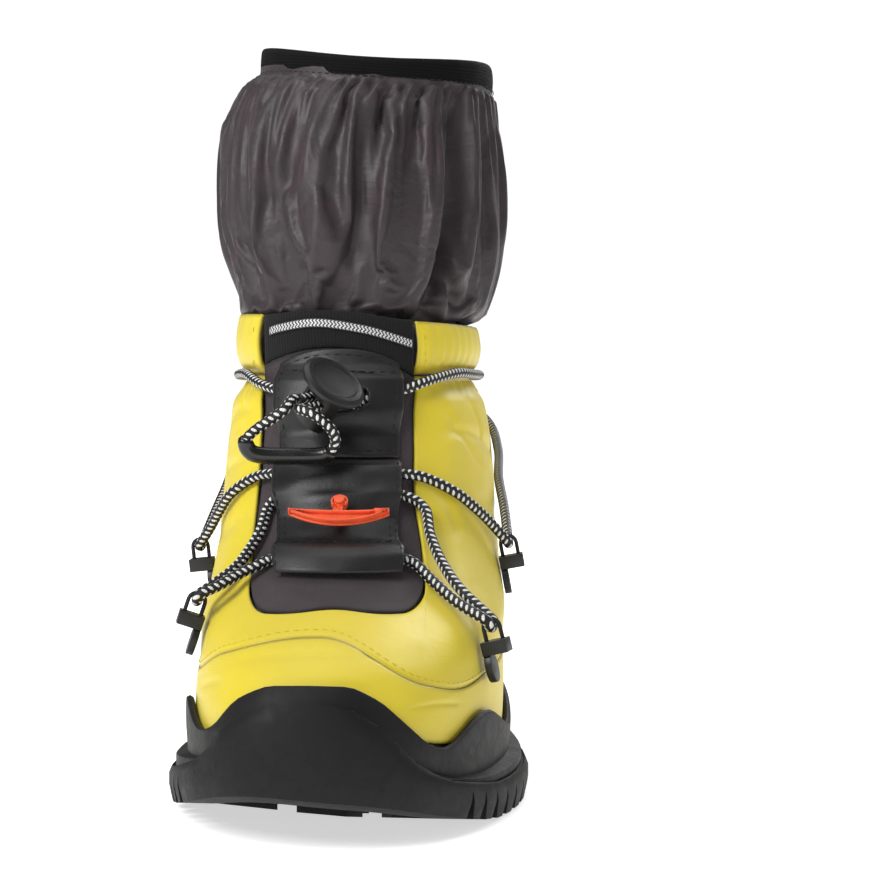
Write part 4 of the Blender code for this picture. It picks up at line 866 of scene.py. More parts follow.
class BootLaces(bpy.types.PropertyGroup):
    """The drawcord."""

    diameter: bpy.props.FloatProperty(
        name="Cord diameter", description="Diameter of the elastic cord",
        default=3.6 * MM, min=2 * MM, max=5 * MM, unit="LENGTH")
    fleck_pitch: bpy.props.FloatProperty(
        name="Fleck pitch", description="Distance from one fleck to the next along the cord",
        default=2.3 * MM, min=1 * MM, max=6 * MM, unit="LENGTH")


class BootGaiter(bpy.types.PropertyGroup):
    """The gaiter sleeve."""

    fold_depth: bpy.props.FloatProperty(
        name="Fold depth", description="Depth of the sleeve's large folds",
        default=5.5 * MM, min=0, max=12 * MM, unit="LENGTH")
    settle_frames: bpy.props.IntProperty(
        name="Settle frames", description="Frames that the cloth takes to settle", default=22, min=0, max=60)


class BootStage(bpy.types.PropertyGroup):
    """Camera and lights."""

    key_power: bpy.props.FloatProperty(
        name="Key power", description="Power of the main light", default=16.5, min=0, max=200, unit="POWER")
    sky: bpy.props.FloatProperty(
        name="Sky", description="Strength of the light from all round", default=0.22, min=0, max=3)


# ---------------------------------------------------------------- stage
# Each light's name, place, size and share of the key light's power
LIGHTS = (
    ("key", (-0.75, -0.85, 0.95), 0.7, 1), ("fill", (0.95, -0.55, 0.5), 0.9, 0.05),
    ("rim", (0.45, 0.95, 0.9), 0.6, 0.45), ("top", (-0.1, 0.1, 1.2), 0.8, 0.22),
)
LIT_POINT, BACKDROP = (0, 0, 0.12), 1.05


def soft_light(name, place, target, size, power):
    data = bpy.data.lights.new(name, "AREA")
    data.size, data.energy = size, power
    light = bpy.data.objects.new(name, data)
    light.location = place
    light.rotation_euler = (Vector(target) - Vector(place)).to_track_quat("-Z", "Y").to_euler()
    bpy.context.scene.collection.objects.link(light)


class BOOT_OT_stage(bpy.types.Operator):
    """Make the camera, the lights and the floor"""

    bl_idname = "boot.stage"
    bl_label = "Stage"

    def execute(self, context):
        scene, settings = context.scene, context.scene.boot_stage
        data = bpy.data.cameras.new("camera")
        data.sensor_width, data.lens = 36.0, CAMERA_LENS
        data.shift_x, data.shift_y = CAMERA_SHIFT
        data.clip_start, data.clip_end = 0.05, 20
        camera = bpy.data.objects.new("camera", data)
        camera.location = CAMERA_PLACE
        camera.rotation_euler = (PI / 2, 0, CAMERA_TURN)
        scene.collection.objects.link(camera)
        scene.camera = camera
        scene.view_settings.view_transform = "Standard"
        scene.view_settings.look = "None"
        world = bpy.data.worlds.new("studio")
        world.use_nodes = True
        nodes, links = world.node_tree.nodes, world.node_tree.links
        sky = nodes["Background"]
        sky.inputs[0].default_value = (1, 1, 1, 1)
        strength = nodes.new("ShaderNodeMix")
        links.new(nodes.new("ShaderNodeLightPath").outputs["Is Camera Ray"], strength.inputs[0])
        strength.inputs[2].default_value, strength.inputs[3].default_value = settings.sky, BACKDROP
        links.new(strength.outputs[0], sky.inputs[1])
        scene.world = world
        for name, place, size, share in LIGHTS:
            soft_light(name, place, LIT_POINT, size, settings.key_power * share)
        bpy.ops.object.select_all(action="DESELECT")
        bpy.ops.mesh.primitive_plane_add(size=60, location=(0, 0, -0.0004))
        floor = context.object
        floor.name = "studio_floor"
        bpy.ops.object.transform_apply(location=True, rotation=False, scale=False)
        paint(floor, "floor")
        return {"FINISHED"}


# ---------------------------------------------------------------- sole
CUP_SHIFT = curve_through([
    (-PI, 0), (-1.7, 0), (-1.3, 2.4 * MM), (-1.0, 1.0 * MM), (-0.66, -2.4 * MM), (-0.45, 0.6 * MM), (-0.3, 2.8 * MM),
    (0.12, 2.8 * MM), (0.3, -0.6 * MM), (0.45, -4.0 * MM), (0.66, -4.4 * MM), (0.85, -3.2 * MM), (1.1, -1.5 * MM),
    (1.6, 0), (PI, 0),
])


def shape_sole(obj):
    """Draws the cup's wavy edge lower on the lateral side and lifts the medial toe a little."""
    spots = np.array([v.co for v in obj.data.vertices])
    x, y, z = spots.T
    height = z - lift(y, z)
    angle = np.arctan2(x / 0.053, -y / 0.139)
    shift = CUP_SHIFT(angle) * smooth((height - 14.5 * MM) / (9 * MM))
    ledge = 4.6 * MM * np.exp(-(((height - 18 * MM) / (6 * MM)) ** 2))
    shift = shift - ledge * smooth((np.abs(angle) - 0.35) / 0.4) * smooth((2.2 - np.abs(angle)) / 0.6)
    twist = 3.6 * MM * smooth((8 * MM - x) / (50 * MM)) * smooth((-50 * MM - y) / (45 * MM))
    shift = shift + twist * (1 - smooth((height - 24 * MM) / (14 * MM)))
    spots[:, 2] += shift
    obj.data.vertices.foreach_set("co", spots.ravel())
    obj.data.update()


class BOOT_OT_sole(bpy.types.Operator):
    """Finish the outsole, the rubber cup and the layers inside it"""

    bl_idname = "boot.sole"
    bl_label = "Sole"

    def execute(self, context):
        cup = bevelled(copy_of("midsole_cup", "toe_cup_rubber"), 0.5 * MM, 2, 28, 60)
        subdivided(cup, 1)
        shape_sole(cup)
        dress(cup, "cup", "cup_rubber", "boot", "midsole_cup")
        tread = bevelled(copy_of("outsole", "outsole_tread"), 0.35 * MM, 1, 50, 38)
        shape_sole(tread)
        dress(tread, "sole", "sole_rubber", "boot", "outsole")
        for node, finish in (("midsole_core", "foam"), ("insole_board", "foam"), ("shank", "steel")):
            paint(frame["nodes"][node], finish)
        bed = fitting("footbed", "footbed_foam", "fleece", "lining", "boot", 1.2 * MM, 3, 40, 60)
        return {"FINISHED"}


# ---------------------------------------------------------------- upper
SHELL_FOLDS = (
    (33, 122, 74, 112, 2.6, 1.1, 3), (36, 131, 58, 108, 1.6, 0.7, -2), (30, 103, 40, 84, 2.2, 0.8, 2),
    (48, 98, 76, 86, 3.0, 0.7, 2), (-36, 130, -66, 122, 2.4, 0.9, -3), (-34, 116, -58, 108, 2.0, 0.7, 2),
    (-34, 94, -62, 84, 2.6, 0.8, 3), (52, 134, 60, 118, 1.5, 0.8, 1), (-50, 136, -44, 121, 1.5, 0.8, 1),
    (96, 110, 126, 98, 2.8, 0.9, 2), (-98, 112, -128, 98, 2.8, 0.9, 2), (104, 128, 128, 119, 2.2, 0.8, -2),
    (-106, 128, -130, 118, 2.2, 0.8, -2), (84, 60, 110, 52, 2.5, 0.6, 2),
)
SHELL_WALL, SHELL_TOP = 1.4 * MM, CINCH - 0.2 * MM


def shell_relief(height, angle):
    """Soft creases and gathers of the padded yellow panels."""
    settings = bpy.context.scene.boot_upper
    x, y = angle * 48 * MM, height
    near = np.exp(-np.maximum(0, CINCH - 4 * MM - height) / (7 * MM))
    pleats = 0.6 * np.sin(x / (1.25 * MM) + 2.2 * np.sin(x / (9 * MM)))
    gathers = near * (pleats + 0.5 * ripples(x, y, 6 * MM, 5, stretch=0.2))
    gathers = -settings.gather_depth * (0.5 + 0.5 * gathers) * near
    quiet = smooth((height - TOE_SEAM(np.clip(angle, -1.7, 1.7)) - 3 * MM) / (12 * MM))
    soft = 0.22 * MM * ripples(x, y, 26 * MM, 11) * quiet
    return gathers + soft - folds(x, y, *SHELL_FOLDS) * settings.crease_depth + cinch_dip(height)


def strip_half(height, side=1):
    """Half width of the tongue's opening: widest low down, drawn in above, wider on the medial side."""
    widest = STRIP + np.where(np.asarray(side) < 0, 2.2 * MM, 0.0)
    drawn_in = 1.7 * MM * smooth((height - 80 * MM) / (26 * MM))
    return widest - drawn_in + 0.9 * MM * smooth((height - 128 * MM) / (14 * MM))


def strip_low(across):
    """Lower edge of the opening, with rounded corners and a slightly raised middle."""
    radius = 7.5 * MM
    beyond = np.clip((np.abs(across) - (STRIP - radius)) / radius, 0, 1)
    corner = radius * (1 - np.sqrt(1 - beyond**2))
    return STRIP_FOOT + corner + 1.6 * MM * np.exp(-((across / (11 * MM)) ** 2)) - 0.6 * MM


class BOOT_OT_shell(bpy.types.Operator):
    """Sew the yellow vamp, forefoot shell, rear quarter and collar"""

    bl_idname = "boot.shell"
    bl_label = "Yellow shell"

    def execute(self, context):
        u, v = spans(-SIDE_SEAM, SIDE_SEAM, 190, 44)
        top = TOE_SEAM(u) - 0.12 * MM
        height = SHELL_FOOT + (top - SHELL_FOOT) * v
        x = u * 50 * MM
        relief = 0.12 * MM * ripples(x, height, 24 * MM, 3) - folds(
            x, height, (-24, 52, 18, 54, 1.0, 0.35, 2.5), (24, 38.5, 42, 37.5, 1.0, 0.45, 1.2),
            (-10, 47, 16, 45, 1.6, 0.25, 1.5), (-44, 41, -28, 46, 1.2, 0.4, 1.0))
        panel("vamp_nylon", skin(height, u), SHELL_WALL, relief, "nylon", "yellow_shell", "toe_vamp",
              roll=0.35 * MM, roll_width=1.1 * MM)

        side, strip, low, high = 84, 64, 22, 92
        columns = np.arange(2 * side + strip + 1)
        rows = np.arange(low + high + 1)
        c, r = np.meshgrid(columns, rows)
        in_strip = (c >= side) & (c <= side + strip)
        share = np.clip((c - side) / strip * 2 - 1, -1, 1)
        across = STRIP * np.sin(share * 1.2) / math.sin(1.2)
        edge_height = strip_low(np.full(c.shape, STRIP))
        cut = np.where(in_strip, strip_low(across), edge_height)
        height = np.where(r >= low, cut + (SHELL_TOP - cut) * (r - low) / high, 0.0)
        opening = angle_at(np.where(r >= low, height, cut), across * strip_half(height, across) / STRIP)
        sign = np.where(c < side, -1, 1)
        steps = np.where(c < side, side - c, c - side - strip) / side
        guess = np.where(r >= low, height, edge_height)
        inner = angle_at(guess, sign * strip_half(guess, sign))
        beside = inner + (sign * (SIDE_SEAM - SEAM_GAP) - inner) * steps
        around = np.where(in_strip, opening, beside)
        below = TOE_SEAM(around) + (cut - TOE_SEAM(around)) * r / low
        height = np.where(r < low, below, height)
        keep = ~((c[:-1, :-1] >= side) & (c[:-1, :-1] < side + strip) & (r[:-1, :-1] >= low))
        relief = shell_relief(height, around)
        grid = skin(height, around, padding(height, around))
        away = np.where(in_strip, np.abs(r - low) * 0.8 * MM, np.abs(steps) * 60 * MM)
        away = np.where(r < low, np.hypot(away, (low - r) * 0.7 * MM), away)
        relief = relief - 0.5 * MM * np.clip(1 - away / (1.6 * MM), 0, 1) ** 2
        panel("forefoot_nylon", grid, SHELL_WALL, relief, "nylon", "yellow_shell", "forefoot_shell", keep=keep)

        u, v = spans(SIDE_SEAM + SEAM_GAP, 2 * PI - SIDE_SEAM - SEAM_GAP, 170, 130)
        height = SHELL_FOOT + (SHELL_TOP - SHELL_FOOT) * v
        signed = np.where(u < PI, u, u - 2 * PI)
        grid = skin(height, u, padding(height, signed))
        panel("rear_quarter_nylon", grid, SHELL_WALL, shell_relief(height, signed), "nylon", "yellow_shell",
              "rear_quarter")

        u, v = spans(0, 1, 300, 40)
        foot = CINCH + 0.2 * MM
        base = foot + (COLLAR_TOP - foot) * v
        start = angle_at(base, strip_half(base))
        other = angle_at(base, -strip_half(base, -1)) + 2 * PI
        turn = start + (other - start) * u
        height = foot + (collar_top(turn) - foot) * v
        x = turn * 46 * MM
        gather = 0.5 + 0.5 * np.sin(x / (0.95 * MM) + 2.4 * np.sin(x / (7 * MM)))
        tight = np.exp(-(height - foot) / (9 * MM)) + 0.35 * smooth((v - 0.6) / 0.4)
        relief = 1.5 * MM * np.sin(PI * v) - 0.9 * MM * gather * tight
        relief = relief + 0.3 * MM * ripples(x, height, 14 * MM, 8, stretch=0.35) + cinch_dip(height)
        panel("collar_nylon", skin(height, turn), 1.6 * MM, relief, "nylon", "yellow_shell", "collar")

        lines = []
        h = np.linspace(35 * MM, 138 * MM, 90)
        for side_angle in (0.05, -0.05):
            for flip in (1, -1):
                a = np.full(h.shape, SIDE_SEAM + side_angle) * flip
                keep_h = h > np.maximum(CUP_EDGE(np.abs(a)), SHELL_FOOT) + 1.5 * MM
                offset = padding(h, a) + shell_relief(h, a) + 0.05 * MM
                lines.append((skin(h, a, offset)[keep_h], outward(h, a)[keep_h]))
        a = np.linspace(-SIDE_SEAM + 0.03, SIDE_SEAM - 0.03, 220)
        h = TOE_SEAM(a) + 1.6 * MM
        lines.append((skin(h, a, padding(h, a) + 0.02 * MM), outward(h, a)))
        h = np.linspace(146 * MM, 160 * MM, 30)
        for flip in (1, -1):
            a = angle_at(h, flip * (strip_half(h, flip) + 2.0 * MM))
            lines.append((skin(h, a, 1.1 * MM), outward(h, a)))
        thread = stitches("shell_stitching", lines, context.scene.boot_upper.stitch_length * 0.9, 0.9 * MM, 0.16 * MM)
        dress(thread, "yellow_thread", "yellow_shell", "boot")
        return {"FINISHED"}


def collar_top(angle):
    """The collar's top edge, a little higher on the medial side."""
    return 163.6 * MM - 2.4 * MM * np.sin(angle) - 0.6 * MM * np.cos(angle)


# ---------------------------------------------------------------- tongue, cuff and tape
def tongue_arch(across):
    return 153 * MM - 7 * MM * (across / STRIP) ** 2 - 1.2 * MM * (1 + across / STRIP) ** 2


def cuff_top(across):
    lateral, medial = smooth((across + 4 * MM) / (34 * MM)), smooth((-across - 10 * MM) / (20 * MM))
    return 165.6 * MM - 3.4 * MM * lateral - 1.0 * MM * medial


TAPE_RUN = curve_through(MM * np.array([(-29, 157.4), (-22, 159.4), (-9, 161), (8, 158.8), (29, 152.6)]))
TAPE_HALF, OPENING_GAP = 1.7 * MM, 0.7 * MM


class BOOT_OT_tongue(bpy.types.Operator):
    """Sew the mauve tongue, the knit cuff band and its tape"""

    bl_idname = "boot.tongue"
    bl_label = "Tongue and cuff"

    def execute(self, context):
        bow = np.sin(np.linspace(-1, 1, 90) * PI / 2)
        u, v = np.meshgrid(bow, np.linspace(0, 1, 150))
        low = strip_low(u * STRIP) + 0.5 * MM
        height = low + (tongue_arch(u * STRIP) - low) * v
        across = u * (strip_half(height, u) - OPENING_GAP)
        relief = 0.18 * MM * ripples(across, height, 13 * MM, 21) - folds(
            across, height, (22, 112, 27, 92, 1.2, 0.5, 1), (-24, 120, -22, 100, 1.4, 0.5, 1),
            (-20, 72, -4, 70, 1.2, 0.4, 1))
        panel("tongue_soft_shell", front_skin(across, height, ON_TONGUE), 1.2 * MM, np.minimum(relief, 0.1 * MM),
              "soft_shell", "tongue_mauve", "tongue_panel", roll=0.3 * MM)

        u, v = spans(-1, 1, 90, 34)
        low = tongue_arch(u * STRIP) + 0.4 * MM
        height = low + (cuff_top(u * STRIP) - low) * v
        across = u * (strip_half(height, u) - OPENING_GAP)
        panel("cuff_knit", front_skin(across, height, ON_TONGUE), 1.6 * MM, -0.1 * MM * (1 - v),
              "knit", "knit_black", "knit_cuff_band", roll=0.5 * MM)

        u, v = spans(-1, 1, 110, 9)
        across = u * (STRIP - 2.2 * MM)
        height = TAPE_RUN(across) + TAPE_HALF * (2 * v - 1)
        panel("herringbone_tape", front_skin(across, height, ON_TONGUE + 0.65 * MM), 0.4 * MM, None,
              "tape", "reflective", "reflective_tape", roll=0.1 * MM, roll_width=0.5 * MM)
        return {"FINISHED"}


# ---------------------------------------------------------------- overlays
def tunnel_rise(height, tunnels, ramp):
    """How far a patch stands off over the cord, given the heights in mm between which each cord runs."""
    share = np.zeros_like(height)
    for low, high in tunnels:
        distance = np.maximum(np.maximum(low * MM - height, height - high * MM), 0)
        share = np.maximum(share, smooth(1 - distance / ramp))
    return 4.2 * MM * share


def patch_top(across):
    return 151.6 * MM - 5.2 * MM * np.abs(across / PATCH_HALF) ** 2.4


def patch_offset(height):
    return OVERLAY + tunnel_rise(height, ((129, 138),), 9 * MM)


def flap_offset(height):
    return OVERLAY + tunnel_rise(height, ((79, 80.2), (99, 107.5)), 6.5 * MM)


def stitched(across, height, offset):
    """A line of stitches in mm on a patch whose offset is a function of the height."""
    across, height = (np.asarray(way, float) * MM for way in np.broadcast_arrays(across, height))
    angle = angle_at(height, across)
    return skin(height, angle, offset(height)), outward(height, angle)


class BOOT_OT_overlays(bpy.types.Operator):
    """Cut and stitch the black patches that cover the cord's tunnels"""

    bl_idname = "boot.overlays"
    bl_label = "Lace patches"

    def execute(self, context):
        cut = {"roll": 0.35 * MM, "roll_width": 1.0 * MM}
        across, v = spans(-PATCH_HALF, PATCH_HALF, 71, 66)
        height = PATCH_FOOT + (patch_top(across) - PATCH_FOOT) * v
        relief = 0.14 * MM * ripples(across, height, 11 * MM, 31) - folds(
            across, height, (-16, 143.5, 17, 140.5, 0.5, 0.35, 1.6), (-15, 121, 14, 123, 1.6, 0.3, 1.5))
        x0, h0, wide, tall = PATCH_SLOT
        mid_x = (across[:-1, :-1] + across[1:, 1:]) / 2
        mid_h = (height[:-1, :-1] + height[1:, 1:]) / 2
        keep = ~((np.abs((mid_x - x0) / wide) ** 3 + np.abs((mid_h - h0) / tall) ** 3) < 1)
        panel("upper_patch_leather", front_skin(across, height, patch_offset(height)), OVERLAY_WALL, relief,
              "leather", "patch_black", "upper_lace_patch", keep=keep, **cut)

        across, v = spans(-FLAP_HALF, FLAP_HALF, 71, 84)
        height = FLAP_FOOT + FLAP_RISE * v
        relief = 0.10 * MM * ripples(across, height, 10 * MM, 33) - folds(
            across, height, (-19, 101, 19, 105.5, 2.6, -0.5, 1.5), (-20, 96.5, 12, 99.5, 1.8, 0.7, 1.2),
            (-16, 108, 20, 109, 1.1, 0.5, 0.5), (-18, 83.6, 18, 83.6, 0.7, 0.4, 0))
        panel("lower_flap_leather", front_skin(across, height, flap_offset(height)), OVERLAY_WALL, relief,
              "leather", "patch_black", "lower_lace_flap", **cut)

        s = np.linspace(-18.8, 18.8, 60)
        lines = [stitched(s, h, patch_offset)
                 for h in (patch_top(s * MM) / MM - 2.2, 143.6 - 1.6 * (s + 18.8) / 37.6, 115.2)]
        for side in (-1, 1):
            lines += [
                stitched(side * 18.8, np.linspace(116, 146, 50), patch_offset),
                stitched(side * 17.6, np.linspace(84.6, 93, 16), flap_offset),
                stitched(side * 19.4, np.linspace(76, 109.5, 50), flap_offset),
            ]
        lines.append(stitched(np.linspace(-17.6, 17.6, 50), 84.6, flap_offset))
        sewing = stitches("patch_stitching", lines, context.scene.boot_upper.stitch_length, 1.2 * MM, 0.22 * MM)
        dress(sewing, "black_thread", "patch_black", "boot")
        return {"FINISHED"}


# ---------------------------------------------------------------- lining and heel loop
HEEL_FOOT, HEEL_RISE = 118 * MM, 45 * MM


def heel_bow(share):
    """How far the heel loop stands off the boot at a share of its height."""
    return 3.9 * MM + 12 * MM * smooth(3 * share) * smooth(3 * (1 - share))


class BOOT_OT_lining(bpy.types.Operator):
    """Make the fleece lining and the webbing loop at the heel"""

    bl_idname = "boot.lining"
    bl_label = "Lining and heel loop"

    def execute(self, context):
        u, v = spans(-PI, PI, 180, 110, True)
        height = 24.3 * MM + (collar_top(u) - 24.6 * MM) * v
        relief = 0.15 * MM * ripples(u * 45 * MM, height, 18 * MM, 41) - 0.15 * MM
        panel("fleece_lining", skin(height, u, -3.6 * MM), 2.0 * MM, relief, "fleece", "lining", "lining_sock",
              closed=True)

        u, v = spans(-1, 1, 26, 90)
        grid = skin(HEEL_FOOT + HEEL_RISE * v, 0.2 * u + PI, heel_bow(v))
        panel("heel_loop_webbing", grid, 1.4 * MM, None, "webbing", "knit_black", "heel_pull_loop",
              roll=0.3 * MM, roll_width=0.9 * MM)
        a, lines = 0.17 * np.linspace(-1, 1, 20) + PI, []
        for share in (0.05, 0.95):
            h = np.full(a.shape, HEEL_FOOT + HEEL_RISE * share)
            lines.append((skin(h, a, heel_bow(share)), outward(h, a)))
        bar = stitches("heel_loop_stitching", lines, 2.2 * MM, 0.8 * MM, 0.22 * MM)
        dress(bar, "black_thread", "knit_black", "boot")
        return {"FINISHED"}


# ---------------------------------------------------------------- gaiter
GAITER = np.array([
    (0.0, -42.3, 30.7, 52, 55.5), (0.09, -44.0, 32.5, 53, 56), (0.125, -46.0, 36.5, 54, 56.5),
    (0.163, -50.0, 41.8, 56, 57), (0.235, -53.0, 46.4, 60, 58), (0.345, -57.2, 48.6, 64, 59.5),
    (0.46, -59.8, 49.8, 66, 61), (0.65, -60.4, 49.4, 65, 62.5), (0.82, -59.6, 47.8, 62, 64),
    (0.89, -57.2, 46.8, 59, 65), (0.945, -53.5, 46.2, 57, 65.5), (1.0, -45.2, 45.2, 53.5, 66),
])
GAITER_CURVES = [curve_through(GAITER[:, [0, i]] * (1, MM)) for i in (1, 2, 3, 4)]


# Long folds: angle and height in mm of the top end, the same of the low end, width, depth and bend
SLEEVE_FOLDS = (
    (0.27, 250, 0.10, 182, 3.6, 1.1, -3), (0.82, 250, 0.60, 166, 4.6, 1.5, 4),
    (0.50, 250, 0.38, 216, 2.4, 0.6, 2), (0.62, 190, 0.98, 168, 3.0, 0.7, -3),
    (-0.36, 244, -0.52, 206, 3.2, 0.7, 3), (-0.20, 214, 0.02, 180, 3.4, 0.6, 3),
    (-0.62, 216, -0.30, 178, 3.2, 0.65, -4), (-0.95, 240, -0.80, 196, 3.6, 0.6, 3),
    (-1.05, 196, -0.72, 172, 3.0, 0.6, 2), (1.20, 240, 1.05, 186, 4.2, 0.7, 3),
    (1.55, 246, 1.45, 192, 3.8, 0.8, -3), (-1.45, 246, -1.35, 190, 4.0, 0.7, 3),
    (1.95, 244, 2.10, 180, 4.4, 0.9, 4), (-1.95, 244, -2.05, 182, 4.4, 0.9, -4),
    (2.5, 246, 2.42, 184, 4.2, 0.8, 3), (-2.5, 246, -2.45, 184, 4.2, 0.8, -3),
    (2.95, 244, 3.0, 178, 4.0, 0.7, 2), (-0.02, 246, -0.12, 222, 2.4, 0.5, 1),
)
GIRTH, SLEEVE_FOOT = 52, 152 * MM
AROUND, ROWS = 260, 110


def gaiter_point(share, angle, height):
    """A place on the sleeve at a share of its rise; its two sides bulge by different amounts."""
    medial, lateral, length, middle = (at(share) for at in GAITER_CURVES)
    x = (lateral + medial) / 2 + np.sin(angle) * (lateral - medial) / 2
    return np.stack([x, middle - np.cos(angle) * length, height + 0 * angle], -1)


def band_foot(angle):
    return 251.3 * MM + 4.0 * MM * np.sin(angle) ** 2 - 3.4 * MM * np.sin(angle)


def band_head(angle):
    return 259.4 * MM + 6.4 * MM * np.sin(angle) ** 2 - 3.4 * MM * np.sin(angle)


def sleeve_folds(height, angle):
    """The sleeve's pleats below the band and its long slanting folds."""
    deep = bpy.context.scene.boot_gaiter.fold_depth
    x, y = angle * GIRTH * MM, height
    up = smooth((height - 160 * MM) / (10 * MM))
    under = band_foot(angle) - height
    top = np.exp(-np.maximum(0, under) / (9 * MM)) * smooth((under + 0.4 * MM) / (2.6 * MM))
    pleats = np.sin(angle * 44 + 2.2 * np.sin(angle * 5)) * (0.7 + 0.3 * np.sin(angle * 7 + 1))
    total = 2.0 * MM * (pleats + 0.4 * np.sin(angle * 67 + 1)) * top
    lower = np.exp(-np.maximum(0, height - 166 * MM) / (8 * MM))
    total = total + 0.9 * MM * (np.sin(angle * 23 + 2) + 0.4 * np.sin(angle * 41)) * lower * up
    for a0, h0, a1, h1, width, depth, bend in SLEEVE_FOLDS:
        line = folds(x, y, (a0 * GIRTH, h0, a1 * GIRTH, h1, width, depth, bend))
        ridge = folds(x, y, ((a0 + 0.13) * GIRTH, h0, (a1 + 0.12) * GIRTH, h1, width * 0.9, depth, bend))
        total = total - deep * (line - 0.35 * ridge) / MM
    total = total + 0.9 * MM * ripples(x, y, 30 * MM, 51, stretch=0.6) * up
    total = total - folds(x, y, (0.86 * GIRTH, 240, 0.66 * GIRTH, 170, 3.2, 3.5, 4))
    return total * smooth((height - 154 * MM) / (12 * MM)) * smooth((under + 0.4 * MM) / (2.6 * MM)) - 0.5 * MM


def settle(obj, pinned, frames, most, shape):
    """Lets the cloth settle between its pinned edges and keeps the wrinkles, not the change of outline."""
    before = np.array([v.co for v in obj.data.vertices])
    group = obj.vertex_groups.new(name="held")
    group.add([int(i) for i in pinned], 1.0, "REPLACE")
    cloth = obj.modifiers.new("cloth", "CLOTH")
    settings = cloth.settings
    settings.quality, settings.mass = 5, 0.12
    settings.tension_stiffness = settings.compression_stiffness = 9
    settings.shear_stiffness, settings.bending_stiffness = 3, 0.25
    settings.tension_damping = settings.compression_damping = 6
    settings.shrink_min = -0.055
    settings.vertex_group_mass = "held"
    settings.use_pressure, settings.uniform_pressure_force = True, 0.25
    settings.effector_weights.gravity = 0.35
    cloth.collision_settings.use_self_collision = False
    scene = bpy.context.scene
    cloth.point_cache.frame_start, cloth.point_cache.frame_end = 1, frames
    for number in range(1, frames + 1):
        scene.frame_set(number)
    work_on(obj)
    bpy.ops.object.modifier_apply(modifier="cloth")
    scene.frame_set(1)
    after = np.array([v.co for v in obj.data.vertices])
    move = (after - before).reshape(*shape, 3)
    broad = move.copy()
    for _ in range(60):
        broad = (broad + np.roll(broad, 1, 1) + np.roll(broad, -1, 1)) / 3
        tall = np.concatenate([broad[:1], broad, broad[-1:]])
        broad = (tall[:-2] + tall[1:-1] + tall[2:]) / 3
    move = (move - broad).reshape(-1, 3)
    far = np.linalg.norm(move, axis=1, keepdims=True)
    move *= np.minimum(1, most / np.maximum(far, 1e-9))
    obj.data.vertices.foreach_set("co", (before + move).ravel())
    obj.data.update()


class BOOT_OT_gaiter(bpy.types.Operator):
    """Gather the gaiter sleeve and its elastic band"""

    bl_idname = "boot.gaiter"
    bl_label = "Gaiter"

    def execute(self, context):
        settings = context.scene.boot_gaiter
        u, v = spans(-PI, PI, AROUND, ROWS, True)
        height = SLEEVE_FOOT + (band_foot(u) + 3.0 * MM - SLEEVE_FOOT) * v
        share = np.minimum(1, (height - SLEEVE_FOOT) / (band_foot(u) - 0.8 * MM - SLEEVE_FOOT))
        grid = gaiter_point(share, u, height)
        sleeve = sew("gaiter_sleeve_nylon", grid, 0, sleeve_folds(height, u), closed=True, roll=0)
        if settings.settle_frames:
            held = np.concatenate([np.arange(AROUND * 9), np.arange(AROUND * (ROWS - 7), AROUND * ROWS)])
            settle(sleeve, held, settings.settle_frames, 3 * MM, (ROWS, AROUND))
        thicken(sleeve, 0.45 * MM)
        dress(sleeve, "gaiter", "gaiter_nylon", None, "gaiter_sleeve")
        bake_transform(sleeve)

        u, v = spans(-PI, PI, AROUND, 16, True)
        height = band_foot(u) + (band_head(u) - band_foot(u)) * v
        ring = gaiter_point(np.ones(u.shape), u, height)
        ripple = 0.25 * MM * ripples(u * 48 * MM, height, 12 * MM, 61) + 0.5 * MM * np.sin(PI * v) - 0.4 * MM
        band = sew("gaiter_band_elastic", ring, 1.5 * MM, ripple, closed=True, roll=0.45 * MM, roll_width=1.2 * MM)
        dress(band, "elastic", "band_elastic", "gaiter_top", "gaiter_band")
        a = np.linspace(-PI, PI, 400)
        spots = gaiter_point(np.ones(a.shape), a, band_foot(a) + 0.9 * MM)
        ways = np.stack([np.sin(a), -np.cos(a), 0 * a], -1)
        seam = stitches("gaiter_band_stitching", [(spots + ways * 0.1 * MM, ways)], 2.0 * MM, 0.9 * MM, 0.2 * MM)
        dress(seam, "black_thread", "band_elastic", "gaiter_top")
        return {"FINISHED"}


# ---------------------------------------------------------------- guides, cords and fittings
class BOOT_OT_guides(bpy.types.Operator):
    """Finish the four lace guides and their slings"""

    bl_idname = "boot.guides"
    bl_label = "Lace guides"

    def execute(self, context):
        for place in ("lower_lateral", "lower_medial", "upper_lateral", "upper_medial"):
            fitting(f"guide_tab_{place}", f"lace_guide_{place}", "plastic", "guide_plastic", "boot",
                    0.55 * MM, 3, 40, 50)
            sling = frame["nodes"][f"guide_sling_{place}"]
            work_on(sling)
            bpy.ops.object.shade_smooth_by_angle(angle=math.radians(60))
            paint(sling, "guide_cord")
        return {"FINISHED"}


